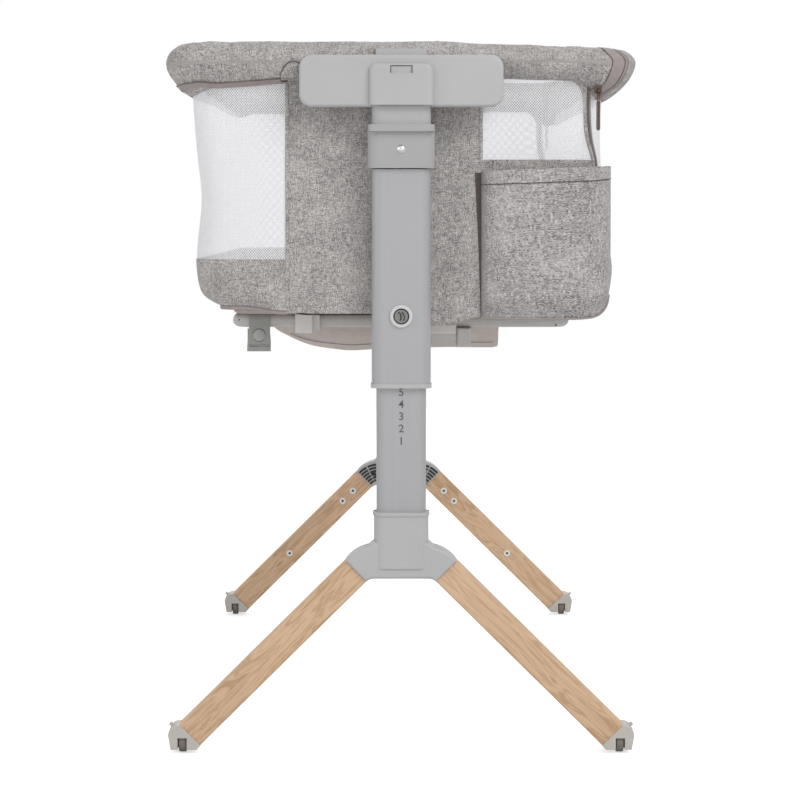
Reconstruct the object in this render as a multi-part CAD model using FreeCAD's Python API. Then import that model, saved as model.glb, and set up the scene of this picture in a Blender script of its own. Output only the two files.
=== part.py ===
import FreeCAD, Part
import math
import os

# Bedside sleeper crib. Millimetres, +Z up, +Y along the crib, +X towards the adult bed.
# The origin is on the floor, midway between the four wheels.

V = FreeCAD.Vector
os.makedirs("parts", exist_ok=True)

# ---------------------------------------------------------------- driving dimensions
# padded rim
rim_top = 846.0
rim_half_width = 284.0
rim_half_length = 441.0
rim_corner_radius = 76.0
rim_pad_width = 44.0
rim_pad_height = 46.0
rim_pad_round = 17.0
rim_tube_radius = 10.0
rim_tube_wall = 1.5

# fabric and mesh body under the rim
body_side_inset = 34.0
body_end_inset = 23.0
body_corner_radius = 46.0
wall_thickness = 3.0
wall_above_base = 21.5
end_panel_above_base = 9.5
band_above_base = 76.5
panel_left = -136.0
panel_right_of_window = 95.0
window_height = 93.4
fabric_gap = 0.6

# storage pocket on the near end
pocket_width = 151.0
pocket_side_inset = 2.0
pocket_above_base = 11.5
pocket_below_window = 9.0
pocket_depth = 17.0
pocket_round = 8.5
pocket_skin = 2.0

# drop side: everything past the zip plane, hinged at its lower hem
zip_inset = 13.0
zip_gap = 1.6
zip_border = 14.0
drop_hem_above_base = 25.5

# bracket on each end of the rim
bracket_half_width = 120.0
bracket_below_rim = 33.0
bracket_height = 61.0
bracket_corner = 15.0
bracket_thickness = 13.0
bracket_edge_round = 4.0
boss_half_width = 37.8
boss_height = 51.0
boss_foot = 2.0
boss_proud = 8.0
boss_corner = 9.0
boss_edge_round = 6.4
boss_wall = 6.0
catch_half_width = 13.0
catch_height = 9.0
catch_drop = 3.0
catch_gap = 1.0
catch_set_back = 2.5
bracket_screw_spread = 20.0
bracket_screw_radius = 2.5
bracket_screw_length = 14.0
bracket_screw_head = 1.5
bracket_screw_head_radius = 4.5
bracket_screw_rise = 17.0

# column: outer tube that turns on the pivot, inner tube that slides in it
column_gap = 5.0
column_width = 70.0
column_depth = 34.0
column_corner = 12.0
column_wall = 2.0
column_bottom = 441.0
pivot_drop = 82.0
pivot_inset = 9.0
pivot_pin_radius = 3.0
pivot_pin_half = 25.0
insert_length = 45.0
tongue_half = 8.0
tongue_side_gap = 0.6
stub_arm_half = 30.0
stub_arm_wrap = 5.0
stub_arm_cover = 3.0
running_gap = 0.05
plug_gap = 0.2
free_gap = 0.5
turning_gap = 1.2

# lock collar
collar_height = 51.0
collar_wall = 4.2
collar_back_wall = 3.0
collar_corner_extra = 2.0
collar_travel = 20.0
ledge_height = 8.0
ledge_proud = 6.0
ledge_inset = 1.0
ledge_corner = 5.0
collar_screw_rise = 21.8
collar_screw_head = 5.3
collar_screw_dome = 2.6
collar_screw_shank = 2.0
collar_screw_length = 12.0

# push button
button_rise = 80.0
button_radius = 9.2
button_gap = 0.3
button_thickness = 3.4
button_recess = 1.5
button_rib_spread = 2.4
button_rib_width = 1.6
button_rib_length = 9.0
button_rib_height = 0.8
bezel_radius = 13.5
bezel_proud = 3.0
bezel_round = 1.5

# bottom bush of the outer tube
bush_lip_height = 5.0
bush_lip_proud = 1.0
bush_sleeve = 40.0
bush_side = 3.5
bush_front = 4.0

# inner tube
inner_corner = 9.0
inner_wall = 1.8
inner_overlap = 104.0

# leg hub, legs and feet
hub_side_wall = 3.0
hub_front_wall = 6.0
hub_corner = 12.0
hub_height = 79.3
hub_lip_height = 4.0
hub_lip_proud = 1.2
hub_floor_thickness = 25.3
hub_floor_half = 31.0
hub_shoulder_height = 38.6
hub_arm_reach = 21.4
hub_arm_rise = 8.6
hub_arm_round = 4.0
shoulder_sag_x = 1.6
shoulder_sag_z = 2.6
shoulder_blend = 6.0
floor_sag_x = 0.6
floor_sag_z = 1.0
grille_rows = 4
grille_columns = 2
grille_first_radius = 24.5
grille_row_step = 6.5
grille_first_angle = 66.0
grille_column_step = 24.0
grille_centre_x = 12.0
grille_centre_drop = 6.0
grille_cell_width = 6.8
grille_cell_height = 4.4
grille_depth = 10.0
grille_border = 2.0
leg_angle = 44.75
leg_width = 35.0
leg_thickness = 24.0
leg_edge_round = 3.0
leg_length = 278.0
leg_cover = 3.0
leg_screw_radius = 2.0
leg_screw_length = 14.0
leg_washer_radius = 5.0
leg_washer_height = 1.2
leg_screw_first = 26.0
leg_screw_second = 49.0
leg_screw_third = 168.0
foot_bottom = 5.0
foot_outer_reach = 25.3
foot_inner_inset = 7.8
foot_outer_lean = 2.5
foot_outer_straight = 14.0
foot_arc_rise = 25.0
foot_arc_inset = 2.2
foot_round = 1.2

# wheels and brakes
wheel_reach = 9.1
wheel_radius = 13.0
wheel_width = 9.0
wheel_round = 1.6
wheel_tuck = 3.9
wheel_well_height = 19.0
axle_radius = 2.5
axle_half = 9.0
wheel_side_gap = 1.0
wheel_top_gap = 3.0
brake_rise = 23.0
brake_proud = 1.4
brake_thickness = 2.6
brake_knuckle_radius = 2.1
brake_width = 9.0
brake_length = 12.0
brake_gap = 0.5
brake_rest_tilt = 35.0
brake_turn = 25.0
brake_sweep_steps = 5

# base
base_z = 510.5
base_tube_radius = 8.5
base_tube_wall = 1.4
base_side_inset = 50.5
base_end_inset = 80.0
base_bend = 16.0
board_thickness = 5.0
board_side_inset = 46.0
board_overhang = 20.0
board_corner = 25.0
cloth_thickness = 2.0
cloth_inset = 3.6
mattress_thickness = 36.0
mattress_corner = 40.0
mattress_round = 8.0
mattress_gap = 2.5
layer_gap = 0.5
clip_width = 30.0
clip_left_inset = 85.0
clip_right_inset = 146.5
clip_wall = 4.0
latch_block_inset = 2.0
latch_block_depth = 37.0
latch_block_height = 18.0
latch_width = 17.0
latch_height = 24.0
latch_depth = 26.0
latch_proud = 2.0
latch_round = 2.5
latch_side_gap = 1.0
strap_inset = 25.0
strap_width = 29.0
strap_thickness = 2.0
strap_tail = 38.0
stud_radius = 7.8
stud_height = 2.0
stud_drop = 19.0
sling_left_inset = 29.5
sling_right_inset = 81.5
sling_drop = 31.0
sling_right_drop = 21.7
sling_curve_x = 76.5
sling_curve_z = 6.8
sling_end_inset = 106.0

# zip slider and its pull
slider_size = 9.0
slider_thickness = 4.0
slider_inset = 3.0
slider_below_rim = 2.0
eye_radius = 3.2
eye_hole_radius = 1.6
eye_width = 2.4
eye_reach = 6.0
eye_drop = 2.0
pull_pin_radius = 1.5
pull_side_gap = 0.5
pull_width = 5.6
pull_length = 31.0
pull_thickness = 2.2
pull_fork = 7.0
pull_fork_overlap = 2.0

# working values of the model: how far a cutting shape runs past the solid it cuts, how far two
# shapes of one piece run into each other before they are joined, the tolerance for picking edges
past = 1.0
joined = 1.0
close = 0.01
far_away = 2000.0


# ---------------------------------------------------------------- helpers
def save(name, shape):
    shape.exportStep("parts/" + name + ".step")


def box(x0, x1, y0, y1, z0, z1):
    return Part.makeBox(x1 - x0, y1 - y0, z1 - z0, V(x0, y0, z0))


def rounded_prism(half_x, half_y, corner, z0, z1, centre_y=0.0):
    """A rounded rectangle in plan, drawn about (0, centre_y), from z0 up to z1."""
    arc = corner * (1 - math.sqrt(0.5))
    pts = []
    for sx, sy in ((1, 1), (-1, 1), (-1, -1), (1, -1)):
        ends = (V(sx * half_x, centre_y + sy * (half_y - corner), z0),
                V(sx * (half_x - corner), centre_y + sy * half_y, z0))
        middle = V(sx * (half_x - arc), centre_y + sy * (half_y - arc), z0)
        if sx * sy < 0:
            ends = (ends[1], ends[0])
        pts.append((ends[0], middle, ends[1]))
    edges = []
    for i, (start, middle, end) in enumerate(pts):
        edges.append(Part.Arc(start, middle, end).toShape())
        following = pts[(i + 1) % 4][0]
        edges.append(Part.LineSegment(end, following).toShape())
    return Part.Face(Part.Wire(edges)).extrude(V(0, 0, z1 - z0))


def plan_ring(half_x, half_y, corner, thickness, z0, z1):
    outer = rounded_prism(half_x, half_y, corner, z0, z1)
    inner = rounded_prism(half_x - thickness, half_y - thickness, corner - thickness, z0 - past, z1 + past)
    return outer.cut(inner)


def rod(radius, start, direction, length):
    return Part.makeCylinder(radius, length, start, direction)


def round_edges(shape, radius, pick):
    return shape.makeFillet(radius, [e for e in shape.Edges if pick(e)])


def spans(edge, axis):
    """How far an edge reaches along "X", "Y" or "Z"."""
    bounds = edge.BoundBox
    return getattr(bounds, axis + "Max") - getattr(bounds, axis + "Min")


def tube_loop(half_x, half_y, bend, radius, z):
    """A round bar bent to a rounded rectangle in plan, on its centre line."""
    bar = None
    long_side = half_y - bend
    short_side = half_x - bend
    for sx in (-1, 1):
        side = rod(radius, V(sx * half_x, -long_side, z), V(0, 1, 0), 2 * long_side)
        end = rod(radius, V(-short_side, sx * half_y, z), V(1, 0, 0), 2 * short_side)
        bar = side.fuse(end) if bar is None else bar.fuse([side, end])
    for sx, sy, turn in ((1, 1, 0), (-1, 1, 90), (-1, -1, 180), (1, -1, 270)):
        corner = Part.makeTorus(bend, radius, V(0, 0, 0), V(0, 0, 1), 0, 360, 90)
        corner.rotate(V(0, 0, 0), V(0, 0, 1), turn)
        corner.translate(V(sx * short_side, sy * long_side, z))
        bar = bar.fuse(corner)
    return bar.removeSplitter()


def far_copy(shape):
    """The same piece on the far end: half a turn about Z swaps left and right as well."""
    copy = shape.copy()
    copy.rotate(V(0, 0, 0), V(0, 0, 1), 180)
    return copy


def mirror_x(shape):
    return shape.mirror(V(0, 0, 0), V(1, 0, 0))


def mirror_y(shape):
    return shape.mirror(V(0, 0, 0), V(0, 1, 0))


def group(shapes):
    return Part.makeCompound(shapes)


# ---------------------------------------------------------------- shared places
rim_bottom = rim_top - rim_pad_height
rim_line_x = rim_half_width - rim_pad_width / 2
rim_line_y = rim_half_length - rim_pad_width / 2
rim_line_z = rim_top - rim_pad_height / 2
rim_bend = rim_corner_radius - rim_pad_width / 2
stub_arm_inner = rim_line_y - rim_tube_radius - stub_arm_wrap
stub_arm_top = rim_line_z + rim_tube_radius + stub_arm_cover

body_half_width = rim_half_width - body_side_inset
body_half_length = rim_half_length - body_end_inset
wall_top = rim_bottom - fabric_gap
wall_bottom = base_z + wall_above_base
window_bottom = wall_top - window_height
zip_plane = body_half_width - zip_inset
end_face = -body_half_length - fabric_gap

column_y = body_half_length + column_gap + column_depth / 2
column_front = -column_y - column_depth / 2
column_back = -column_y + column_depth / 2
bracket_front = column_front
bracket_back = bracket_front + bracket_thickness
bracket_bottom = rim_bottom - bracket_below_rim
boss_top = bracket_bottom + boss_height
link_back = end_face - bracket_screw_head
pivot_y = column_back - pivot_inset
pivot_z = bracket_bottom - pivot_drop
column_top = pivot_z + pivot_inset
stub_bottom = column_top + turning_gap
collar_screw_z = stub_bottom + collar_screw_rise
button_z = column_bottom + button_rise

inner_width = column_width - 2 * (column_wall + bush_side)
inner_depth = column_depth - 2 * (column_wall + bush_front)
hub_half_width = inner_width / 2 + hub_side_wall
hub_depth = inner_depth + 2 * hub_front_wall
arm_depth = leg_thickness + 2 * leg_cover

# the leg stands on its foot, so its length and angle set how high the hub is
leg_way = V(-math.cos(math.radians(leg_angle)), 0, -math.sin(math.radians(leg_angle)))
leg_side = V(-math.sin(math.radians(leg_angle)), 0, math.cos(math.radians(leg_angle)))
leg_end_z = 2 * wheel_radius - wheel_tuck
leg_start = V(-hub_half_width - hub_arm_reach, -column_y, leg_end_z - leg_length * leg_way.z)
leg_end = leg_start + leg_way * leg_length
hub_bottom = leg_start.z - hub_arm_rise
hub_collar_top = hub_bottom + hub_height
inner_bottom = hub_bottom + hub_floor_thickness
inner_top = column_bottom + inner_overlap
leg_screw_spots = (leg_screw_first, leg_screw_second, leg_screw_third)

foot_outer_x = leg_end.x - foot_outer_reach
foot_inner_x = leg_end.x + foot_inner_inset
wheel_x = leg_end.x - wheel_reach
brake_z = foot_bottom + brake_rise
brake_tip_x = foot_outer_x - brake_proud
brake_hinge_x = brake_tip_x + brake_length - brake_thickness / 2

base_half_width = body_half_width - base_side_inset
base_half_length = body_half_length - base_end_inset
clip_spots = (clip_left_inset - base_half_width, base_half_width - clip_right_inset)
strap_x = strap_inset - base_half_width
sling_left = sling_left_inset - base_half_width
sling_right = base_half_width - sling_right_inset
board_bottom = base_z + base_tube_radius + layer_gap
cloth_bottom = board_bottom + board_thickness + layer_gap
mattress_bottom = cloth_bottom + cloth_thickness + layer_gap

slider_x = zip_plane - slider_inset
slider_z = rim_bottom - slider_size - slider_below_rim

fixed_side = box(-far_away, zip_plane, -far_away, far_away, -far_away, far_away)
drop_part = box(zip_plane + zip_gap, far_away, -far_away, far_away, -far_away, far_away)


# ---------------------------------------------------------------- padded rim
def build_rim():
    tube = tube_loop(rim_line_x, rim_line_y, rim_bend, rim_tube_radius, rim_line_z)
    bore = tube_loop(rim_line_x, rim_line_y, rim_bend, rim_tube_radius - rim_tube_wall, rim_line_z)
    hollow_tube = tube.cut(bore)
    padding = plan_ring(rim_half_width, rim_half_length, rim_corner_radius, rim_pad_width, rim_bottom, rim_top)

    def is_rim_edge(edge):
        return spans(edge, "Z") < close

    padding = round_edges(padding, rim_pad_round, is_rim_edge)
    channel = tube_loop(rim_line_x, rim_line_y, rim_bend, rim_tube_radius + fabric_gap, rim_line_z)
    padding = padding.cut(channel)
    arm = stub_arm_half + fabric_gap
    for side in (-1, 1):
        outside = side * (rim_half_length + past)
        inside = side * (stub_arm_inner - fabric_gap)
        notch = box(-arm, arm, min(outside, inside), max(outside, inside), rim_bottom - past,
                    stub_arm_top + fabric_gap)
        padding = padding.cut(notch)
    save("rim_tube", hollow_tube.common(fixed_side))
    save("rim_padding", padding.common(fixed_side))
    save("drop_rail_tube", hollow_tube.common(drop_part))
    save("drop_rail_padding", padding.common(drop_part))


# ---------------------------------------------------------------- fabric and mesh walls
def wall_ring(z0, z1):
    return plan_ring(body_half_width, body_half_length, body_corner_radius, wall_thickness, z0, z1)


def build_walls():
    window_left = panel_right_of_window
    window_right = zip_plane - zip_border
    panel = wall_ring(base_z + end_panel_above_base, wall_top).common(fixed_side)
    panel = panel.common(box(panel_left, far_away, -far_away, -body_corner_radius, 0, far_away))
    window = box(window_left, window_right, -far_away, 0, window_bottom, far_away)
    panel = panel.cut(window)
    save("near_end_panel", panel)
    save("far_end_panel", mirror_y(panel))

    mesh = wall_ring(window_bottom + fabric_gap, wall_top).common(fixed_side)
    mesh = mesh.common(box(window_left + fabric_gap, window_right - fabric_gap, -far_away, 0, 0, far_away))
    save("right_window_meshes", group([mesh, mirror_y(mesh)]))

    band_top = base_z + band_above_base
    left_side = box(-far_away, panel_left - fabric_gap, -far_away, far_away, 0, far_away)
    save("left_mesh", wall_ring(band_top + fabric_gap, wall_top).common(left_side))
    save("left_band", wall_ring(wall_bottom, band_top).common(left_side))

    drop_hem = base_z + drop_hem_above_base
    save("drop_wall", wall_ring(drop_hem, wall_top).common(drop_part))


def build_pocket():
    right = body_half_width - pocket_side_inset
    left = right - pocket_width
    bottom = base_z + pocket_above_base
    top = window_bottom - pocket_below_window
    front = end_face - pocket_depth
    pouch = box(left, right, front, end_face, bottom, top)
    skin = pocket_skin
    hollow = box(left + skin, right - skin, front + skin, end_face + past, bottom + skin, top + past)

    def is_front_upright(edge):
        return spans(edge, "Z") > pocket_depth and edge.BoundBox.YMax < front + skin + close

    pouch = round_edges(pouch, pocket_round, is_front_upright)
    hollow = round_edges(hollow, pocket_round - skin, is_front_upright)
    save("near_pocket", pouch.cut(hollow))


# ---------------------------------------------------------------- bracket, stub and hinge pin
def build_bracket():
    plate = box(-bracket_half_width, bracket_half_width, bracket_front, bracket_back,
                bracket_bottom, bracket_bottom + bracket_height)

    def is_cross_edge(edge):
        return spans(edge, "Y") > bracket_thickness - close

    def is_front_edge(edge):
        return edge.BoundBox.YMax < bracket_front + close

    plate = round_edges(plate, bracket_corner, is_cross_edge)
    plate = round_edges(plate, bracket_edge_round, is_front_edge)
    boss_front = bracket_front - boss_proud
    boss = box(-boss_half_width, boss_half_width, boss_front, bracket_back,
               bracket_bottom + boss_foot, boss_top)

    def is_boss_top_corner(edge):
        return spans(edge, "Y") > boss_proud and edge.BoundBox.ZMin > boss_top - close

    def is_boss_front(edge):
        above_foot = edge.BoundBox.ZMax > bracket_bottom + boss_foot + close
        return edge.BoundBox.YMax < boss_front + close and above_foot

    boss = round_edges(boss, boss_corner, is_boss_top_corner)
    boss = round_edges(boss, boss_edge_round, is_boss_front)
    shell = plate.fuse(boss)
    stub_room = column_width / 2
    hollow = box(-stub_room, stub_room, column_front, bracket_back + past, bracket_bottom - past,
                 boss_top - boss_wall)
    shell = shell.cut(hollow)
    catch_top = boss_top - catch_drop
    catch_floor = boss_front + boss_wall
    catch = box(-catch_half_width, catch_half_width, boss_front - past, catch_floor,
                catch_top - catch_height, catch_top)
    tongue_side = catch_half_width - catch_gap
    tongue = box(-tongue_side, tongue_side, boss_front + catch_set_back, catch_floor,
                 catch_top - catch_height, catch_top - catch_gap)
    return shell.cut(catch).fuse(tongue)


def build_stub():
    width = column_width / 2
    body = rounded_prism(width, column_depth / 2, column_corner, stub_bottom,
                         bracket_bottom + joined, -column_y)
    neck = box(-width + fabric_gap, width - fabric_gap, column_front + fabric_gap, bracket_back,
               bracket_bottom, boss_top - boss_wall - fabric_gap)
    arm = box(-stub_arm_half, stub_arm_half, bracket_back, -stub_arm_inner, rim_bottom, stub_arm_top)
    link = box(-stub_arm_half, stub_arm_half, bracket_back - joined, link_back,
               bracket_bottom + joined, rim_bottom)
    tongue_wide = pivot_inset - tongue_side_gap
    tongue = box(-tongue_half, tongue_half, pivot_y - tongue_wide, pivot_y + tongue_wide,
                 pivot_z, stub_bottom + joined)
    eye = rod(tongue_wide, V(-tongue_half, pivot_y, pivot_z), V(1, 0, 0), 2 * tongue_half)
    stub = body.fuse([neck, arm, link, tongue, eye])
    tube_hole = rod(rim_tube_radius, V(-stub_arm_half - past, -rim_line_y, rim_line_z), V(1, 0, 0),
                    2 * (stub_arm_half + past))
    pin_hole = rod(pivot_pin_radius, V(-tongue_half - past, pivot_y, pivot_z), V(1, 0, 0),
                   2 * (tongue_half + past))
    slot_half = collar_screw_shank + free_gap
    slot = box(-slot_half, slot_half, column_front - past, column_front + collar_screw_length,
               collar_screw_z - slot_half, collar_screw_z + collar_travel + slot_half)
    stub = stub.cut(tube_hole).cut(pin_hole).cut(slot)
    for screw in build_bracket_screws():
        stub = stub.cut(screw)
    return stub


def build_pin():
    return rod(pivot_pin_radius, V(-pivot_pin_half, pivot_y, pivot_z), V(1, 0, 0), 2 * pivot_pin_half)


def build_bracket_screws():
    screws = []
    for x in (-bracket_screw_spread, bracket_screw_spread):
        under_head = V(x, link_back, bracket_bottom + bracket_screw_rise)
        shank = rod(bracket_screw_radius, under_head, V(0, -1, 0), bracket_screw_length)
        head = rod(bracket_screw_head_radius, under_head, V(0, 1, 0), bracket_screw_head)
        screws.append(head.fuse(shank))
    return screws


# ---------------------------------------------------------------- column
def column_profile(extra):
    """Side view of the column's top: its inner upper corner is round about the pivot."""
    radius = pivot_inset + extra
    top = pivot_z + radius
    back = pivot_y + radius
    low = column_bottom - past
    front = column_front - past
    mid = V(0, pivot_y + radius * math.sqrt(0.5), pivot_z + radius * math.sqrt(0.5))
    edges = [
        Part.LineSegment(V(0, front, low), V(0, front, top)).toShape(),
        Part.LineSegment(V(0, front, top), V(0, pivot_y, top)).toShape(),
        Part.Arc(V(0, pivot_y, top), mid, V(0, back, pivot_z)).toShape(),
        Part.LineSegment(V(0, back, pivot_z), V(0, back, low)).toShape(),
        Part.LineSegment(V(0, back, low), V(0, front, low)).toShape(),
    ]
    prism = Part.Face(Part.Wire(edges)).extrude(V(2 * column_width, 0, 0))
    prism.translate(V(-column_width, 0, 0))
    return prism


def tongue_slot():
    half = tongue_half + free_gap
    reach = pivot_inset + tongue_side_gap
    return box(-half, half, pivot_y - reach, column_back + past, pivot_z - reach, column_top + past)


def build_column_tube():
    outer = rounded_prism(column_width / 2, column_depth / 2, column_corner, column_bottom,
                          column_top, -column_y)
    inner = rounded_prism(column_width / 2 - column_wall, column_depth / 2 - column_wall,
                          column_corner - column_wall, column_bottom - past, column_top + past, -column_y)
    tube = outer.cut(inner).common(column_profile(0))
    hole = rod(button_radius + button_gap, V(0, column_front - past, button_z), V(0, 1, 0),
               column_wall + 2 * past)
    return tube.cut(hole).cut(tongue_slot())


def plug_in_column(z0, z1):
    """A block that fills the outer tube from z0 up to z1, with the push-fit gap round it."""
    inset = column_wall + plug_gap
    return rounded_prism(column_width / 2 - inset, column_depth / 2 - inset, column_corner - inset,
                         z0, z1, -column_y)


def build_hinge_insert():
    plug = plug_in_column(column_top - insert_length, column_top)
    plug = plug.common(column_profile(-column_wall - plug_gap))
    bore = rod(pivot_pin_radius + running_gap, V(-pivot_pin_half - past, pivot_y, pivot_z), V(1, 0, 0),
               2 * (pivot_pin_half + past))
    return plug.cut(bore).cut(tongue_slot())


def build_bush():
    lip = rounded_prism(column_width / 2 + bush_lip_proud, column_depth / 2 + bush_lip_proud,
                        column_corner + bush_lip_proud, column_bottom - bush_lip_height,
                        column_bottom, -column_y)
    sleeve = plug_in_column(column_bottom, column_bottom + bush_sleeve)
    opening = rounded_prism(inner_width / 2 + free_gap, inner_depth / 2 + free_gap,
                            inner_corner + free_gap, column_bottom - bush_lip_height - past,
                            column_bottom + bush_sleeve + past, -column_y)
    return lip.fuse(sleeve).cut(opening)


def build_bezel():
    front = column_front - bezel_proud
    ring = rod(bezel_radius, V(0, front, button_z), V(0, 1, 0), bezel_proud)

    def is_front_rim(edge):
        return edge.BoundBox.YMax < front + close

    ring = round_edges(ring, bezel_round, is_front_rim)
    hole = rod(button_radius + button_gap, V(0, front - past, button_z), V(0, 1, 0), bezel_proud + 2 * past)
    return ring.cut(hole)


def build_button():
    face = column_front - bezel_proud + button_recess
    button = rod(button_radius, V(0, face, button_z), V(0, 1, 0), button_thickness)
    half_width = button_rib_width / 2
    half_length = button_rib_length / 2
    for x in (-button_rib_spread, button_rib_spread):
        rib = box(x - half_width, x + half_width, face - button_rib_height, face + joined,
                  button_z - half_length, button_z + half_length)
        button = button.fuse(rib)
    return button


def build_collar():
    top = stub_bottom + collar_height
    inner_x = column_width / 2 + free_gap
    inner_y = column_depth / 2 + free_gap
    mean_wall = (collar_wall + collar_back_wall) / 2
    outer = rounded_prism(inner_x + collar_wall, inner_y + mean_wall, column_corner + collar_corner_extra,
                          stub_bottom, top, -column_y - collar_wall + mean_wall)
    front = -column_y - inner_y - collar_wall
    ledge_half = inner_x + collar_wall - ledge_inset
    ledge = box(-ledge_half, ledge_half, front - ledge_proud, -column_y - column_depth / 4,
                top - ledge_height, top)

    def is_ledge_corner(edge):
        return spans(edge, "Z") > ledge_height - close and edge.BoundBox.YMax < front

    ledge = round_edges(ledge, ledge_corner, is_ledge_corner)
    opening = rounded_prism(inner_x, inner_y, column_corner + free_gap, stub_bottom - past, top + past,
                            -column_y)
    hole = rod(collar_screw_shank, V(0, front - past, collar_screw_z), V(0, 1, 0), collar_wall + 2 * past)
    return outer.fuse(ledge).cut(opening).cut(hole)


def build_collar_screw():
    front = -column_y - column_depth / 2 - free_gap - collar_wall
    ball = (collar_screw_head ** 2 + collar_screw_dome ** 2) / (2 * collar_screw_dome)
    dome = Part.makeSphere(ball, V(0, front - collar_screw_dome + ball, collar_screw_z))
    dome = dome.common(box(-ball, ball, front - ball, front, collar_screw_z - ball, collar_screw_z + ball))
    shank = rod(collar_screw_shank, V(0, front - joined, collar_screw_z), V(0, 1, 0), collar_screw_length)
    return dome.fuse(shank)


# ---------------------------------------------------------------- leg frame
def build_inner_tube():
    outer = rounded_prism(inner_width / 2, inner_depth / 2, inner_corner, inner_bottom, inner_top,
                          -column_y)
    bore = rounded_prism(inner_width / 2 - inner_wall, inner_depth / 2 - inner_wall,
                         inner_corner - inner_wall, inner_bottom - past, inner_top + past, -column_y)
    return outer.cut(bore)


def along_leg(distance, sideways, y):
    point = leg_start + leg_way * distance + leg_side * sideways
    return V(point.x, y, point.z)


def leg_bar(start, length, width, thickness):
    half = thickness / 2
    corners = [along_leg(start, -width / 2, -column_y - half),
               along_leg(start, width / 2, -column_y - half),
               along_leg(start + length, width / 2, -column_y - half),
               along_leg(start + length, -width / 2, -column_y - half)]
    face = Part.Face(Part.makePolygon(corners + corners[:1]))
    return face.extrude(V(0, thickness, 0))


def build_hub():
    block = rounded_prism(hub_half_width, hub_depth / 2, hub_corner, hub_bottom + hub_floor_thickness / 2,
                          hub_collar_top - hub_lip_height, -column_y)
    lip = rounded_prism(hub_half_width + hub_lip_proud, hub_depth / 2 + hub_lip_proud,
                        hub_corner + hub_lip_proud, hub_collar_top - hub_lip_height,
                        hub_collar_top, -column_y)
    y0 = -column_y - arm_depth / 2
    top_joint = along_leg(0, leg_width / 2, y0)
    low_joint = along_leg(0, -leg_width / 2, y0)
    shoulder = V(-hub_half_width - shoulder_blend, y0, hub_bottom + hub_shoulder_height)
    blend_top = shoulder + V(shoulder_blend, 0, shoulder_blend * 0.9)
    shoulder_mid = (shoulder + top_joint) * 0.5 + V(-shoulder_sag_x, 0, shoulder_sag_z)
    floor = V(-hub_floor_half, y0, hub_bottom)
    floor_mid = (floor + low_joint) * 0.5 + V(-floor_sag_x, 0, floor_sag_z)

    def flip(point):
        return V(-point.x, point.y, point.z)

    edges = [
        Part.Arc(shoulder, shoulder_mid, top_joint).toShape(),
        Part.LineSegment(top_joint, low_joint).toShape(),
        Part.Arc(low_joint, floor_mid, floor).toShape(),
        Part.LineSegment(floor, flip(floor)).toShape(),
        Part.Arc(flip(floor), flip(floor_mid), flip(low_joint)).toShape(),
        Part.LineSegment(flip(low_joint), flip(top_joint)).toShape(),
        Part.Arc(flip(top_joint), flip(shoulder_mid), flip(shoulder)).toShape(),
        Part.LineSegment(flip(shoulder), flip(blend_top)).toShape(),
        Part.LineSegment(flip(blend_top), blend_top).toShape(),
        Part.LineSegment(blend_top, shoulder).toShape(),
    ]
    arms = Part.Face(Part.Wire(edges)).extrude(V(0, arm_depth, 0))

    def is_front_outline(edge):
        return edge.BoundBox.YMax < y0 + close

    arms = round_edges(arms, hub_arm_round, is_front_outline)
    hub = block.fuse([lip, arms])
    socket = rounded_prism(inner_width / 2, inner_depth / 2, inner_corner, inner_bottom,
                           hub_collar_top + past, -column_y)
    hub = hub.cut(socket)
    for cell in build_grille_cells():
        hub = hub.cut(cell)
    return hub


def build_grille_cells():
    """The pockets moulded into the hub's inner face, in rows that fan out from its foot."""
    back = -column_y + arm_depth / 2
    half_x = grille_cell_width / 2
    half_z = grille_cell_height / 2
    lowest = hub_bottom + grille_border + half_z
    highest = inner_bottom - grille_border - half_z
    cells = []
    for side in (-1, 1):
        for row in range(grille_rows):
            for column in range(grille_columns):
                radius = grille_first_radius + grille_row_step * row
                angle = math.radians(grille_first_angle - grille_column_step * column)
                x = side * (grille_centre_x + radius * math.cos(angle))
                z = hub_bottom - grille_centre_drop + radius * math.sin(angle)
                if lowest < z < highest:
                    cells.append(box(x - half_x, x + half_x, back - grille_depth, back + past,
                                     z - half_z, z + half_z))
    return cells


def is_lengthwise(edge):
    return edge.Length > leg_length - leg_width


def build_wood_leg():
    leg = leg_bar(0, leg_length, leg_width, leg_thickness)
    leg = round_edges(leg, leg_edge_round, is_lengthwise)
    for spot in leg_screw_spots:
        place = along_leg(spot, 0, -column_y + leg_thickness / 2 - leg_screw_length)
        leg = leg.cut(rod(leg_screw_radius, place, V(0, 1, 0), leg_screw_length + past))
    return leg


def build_leg_screws():
    screws = []
    for spot in leg_screw_spots:
        place = along_leg(spot, 0, -column_y + leg_thickness / 2)
        washer = rod(leg_washer_radius, place, V(0, 1, 0), leg_washer_height)
        shank = rod(leg_screw_radius, place, V(0, -1, 0), leg_screw_length)
        screws.append(washer.fuse(shank))
    return screws


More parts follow.
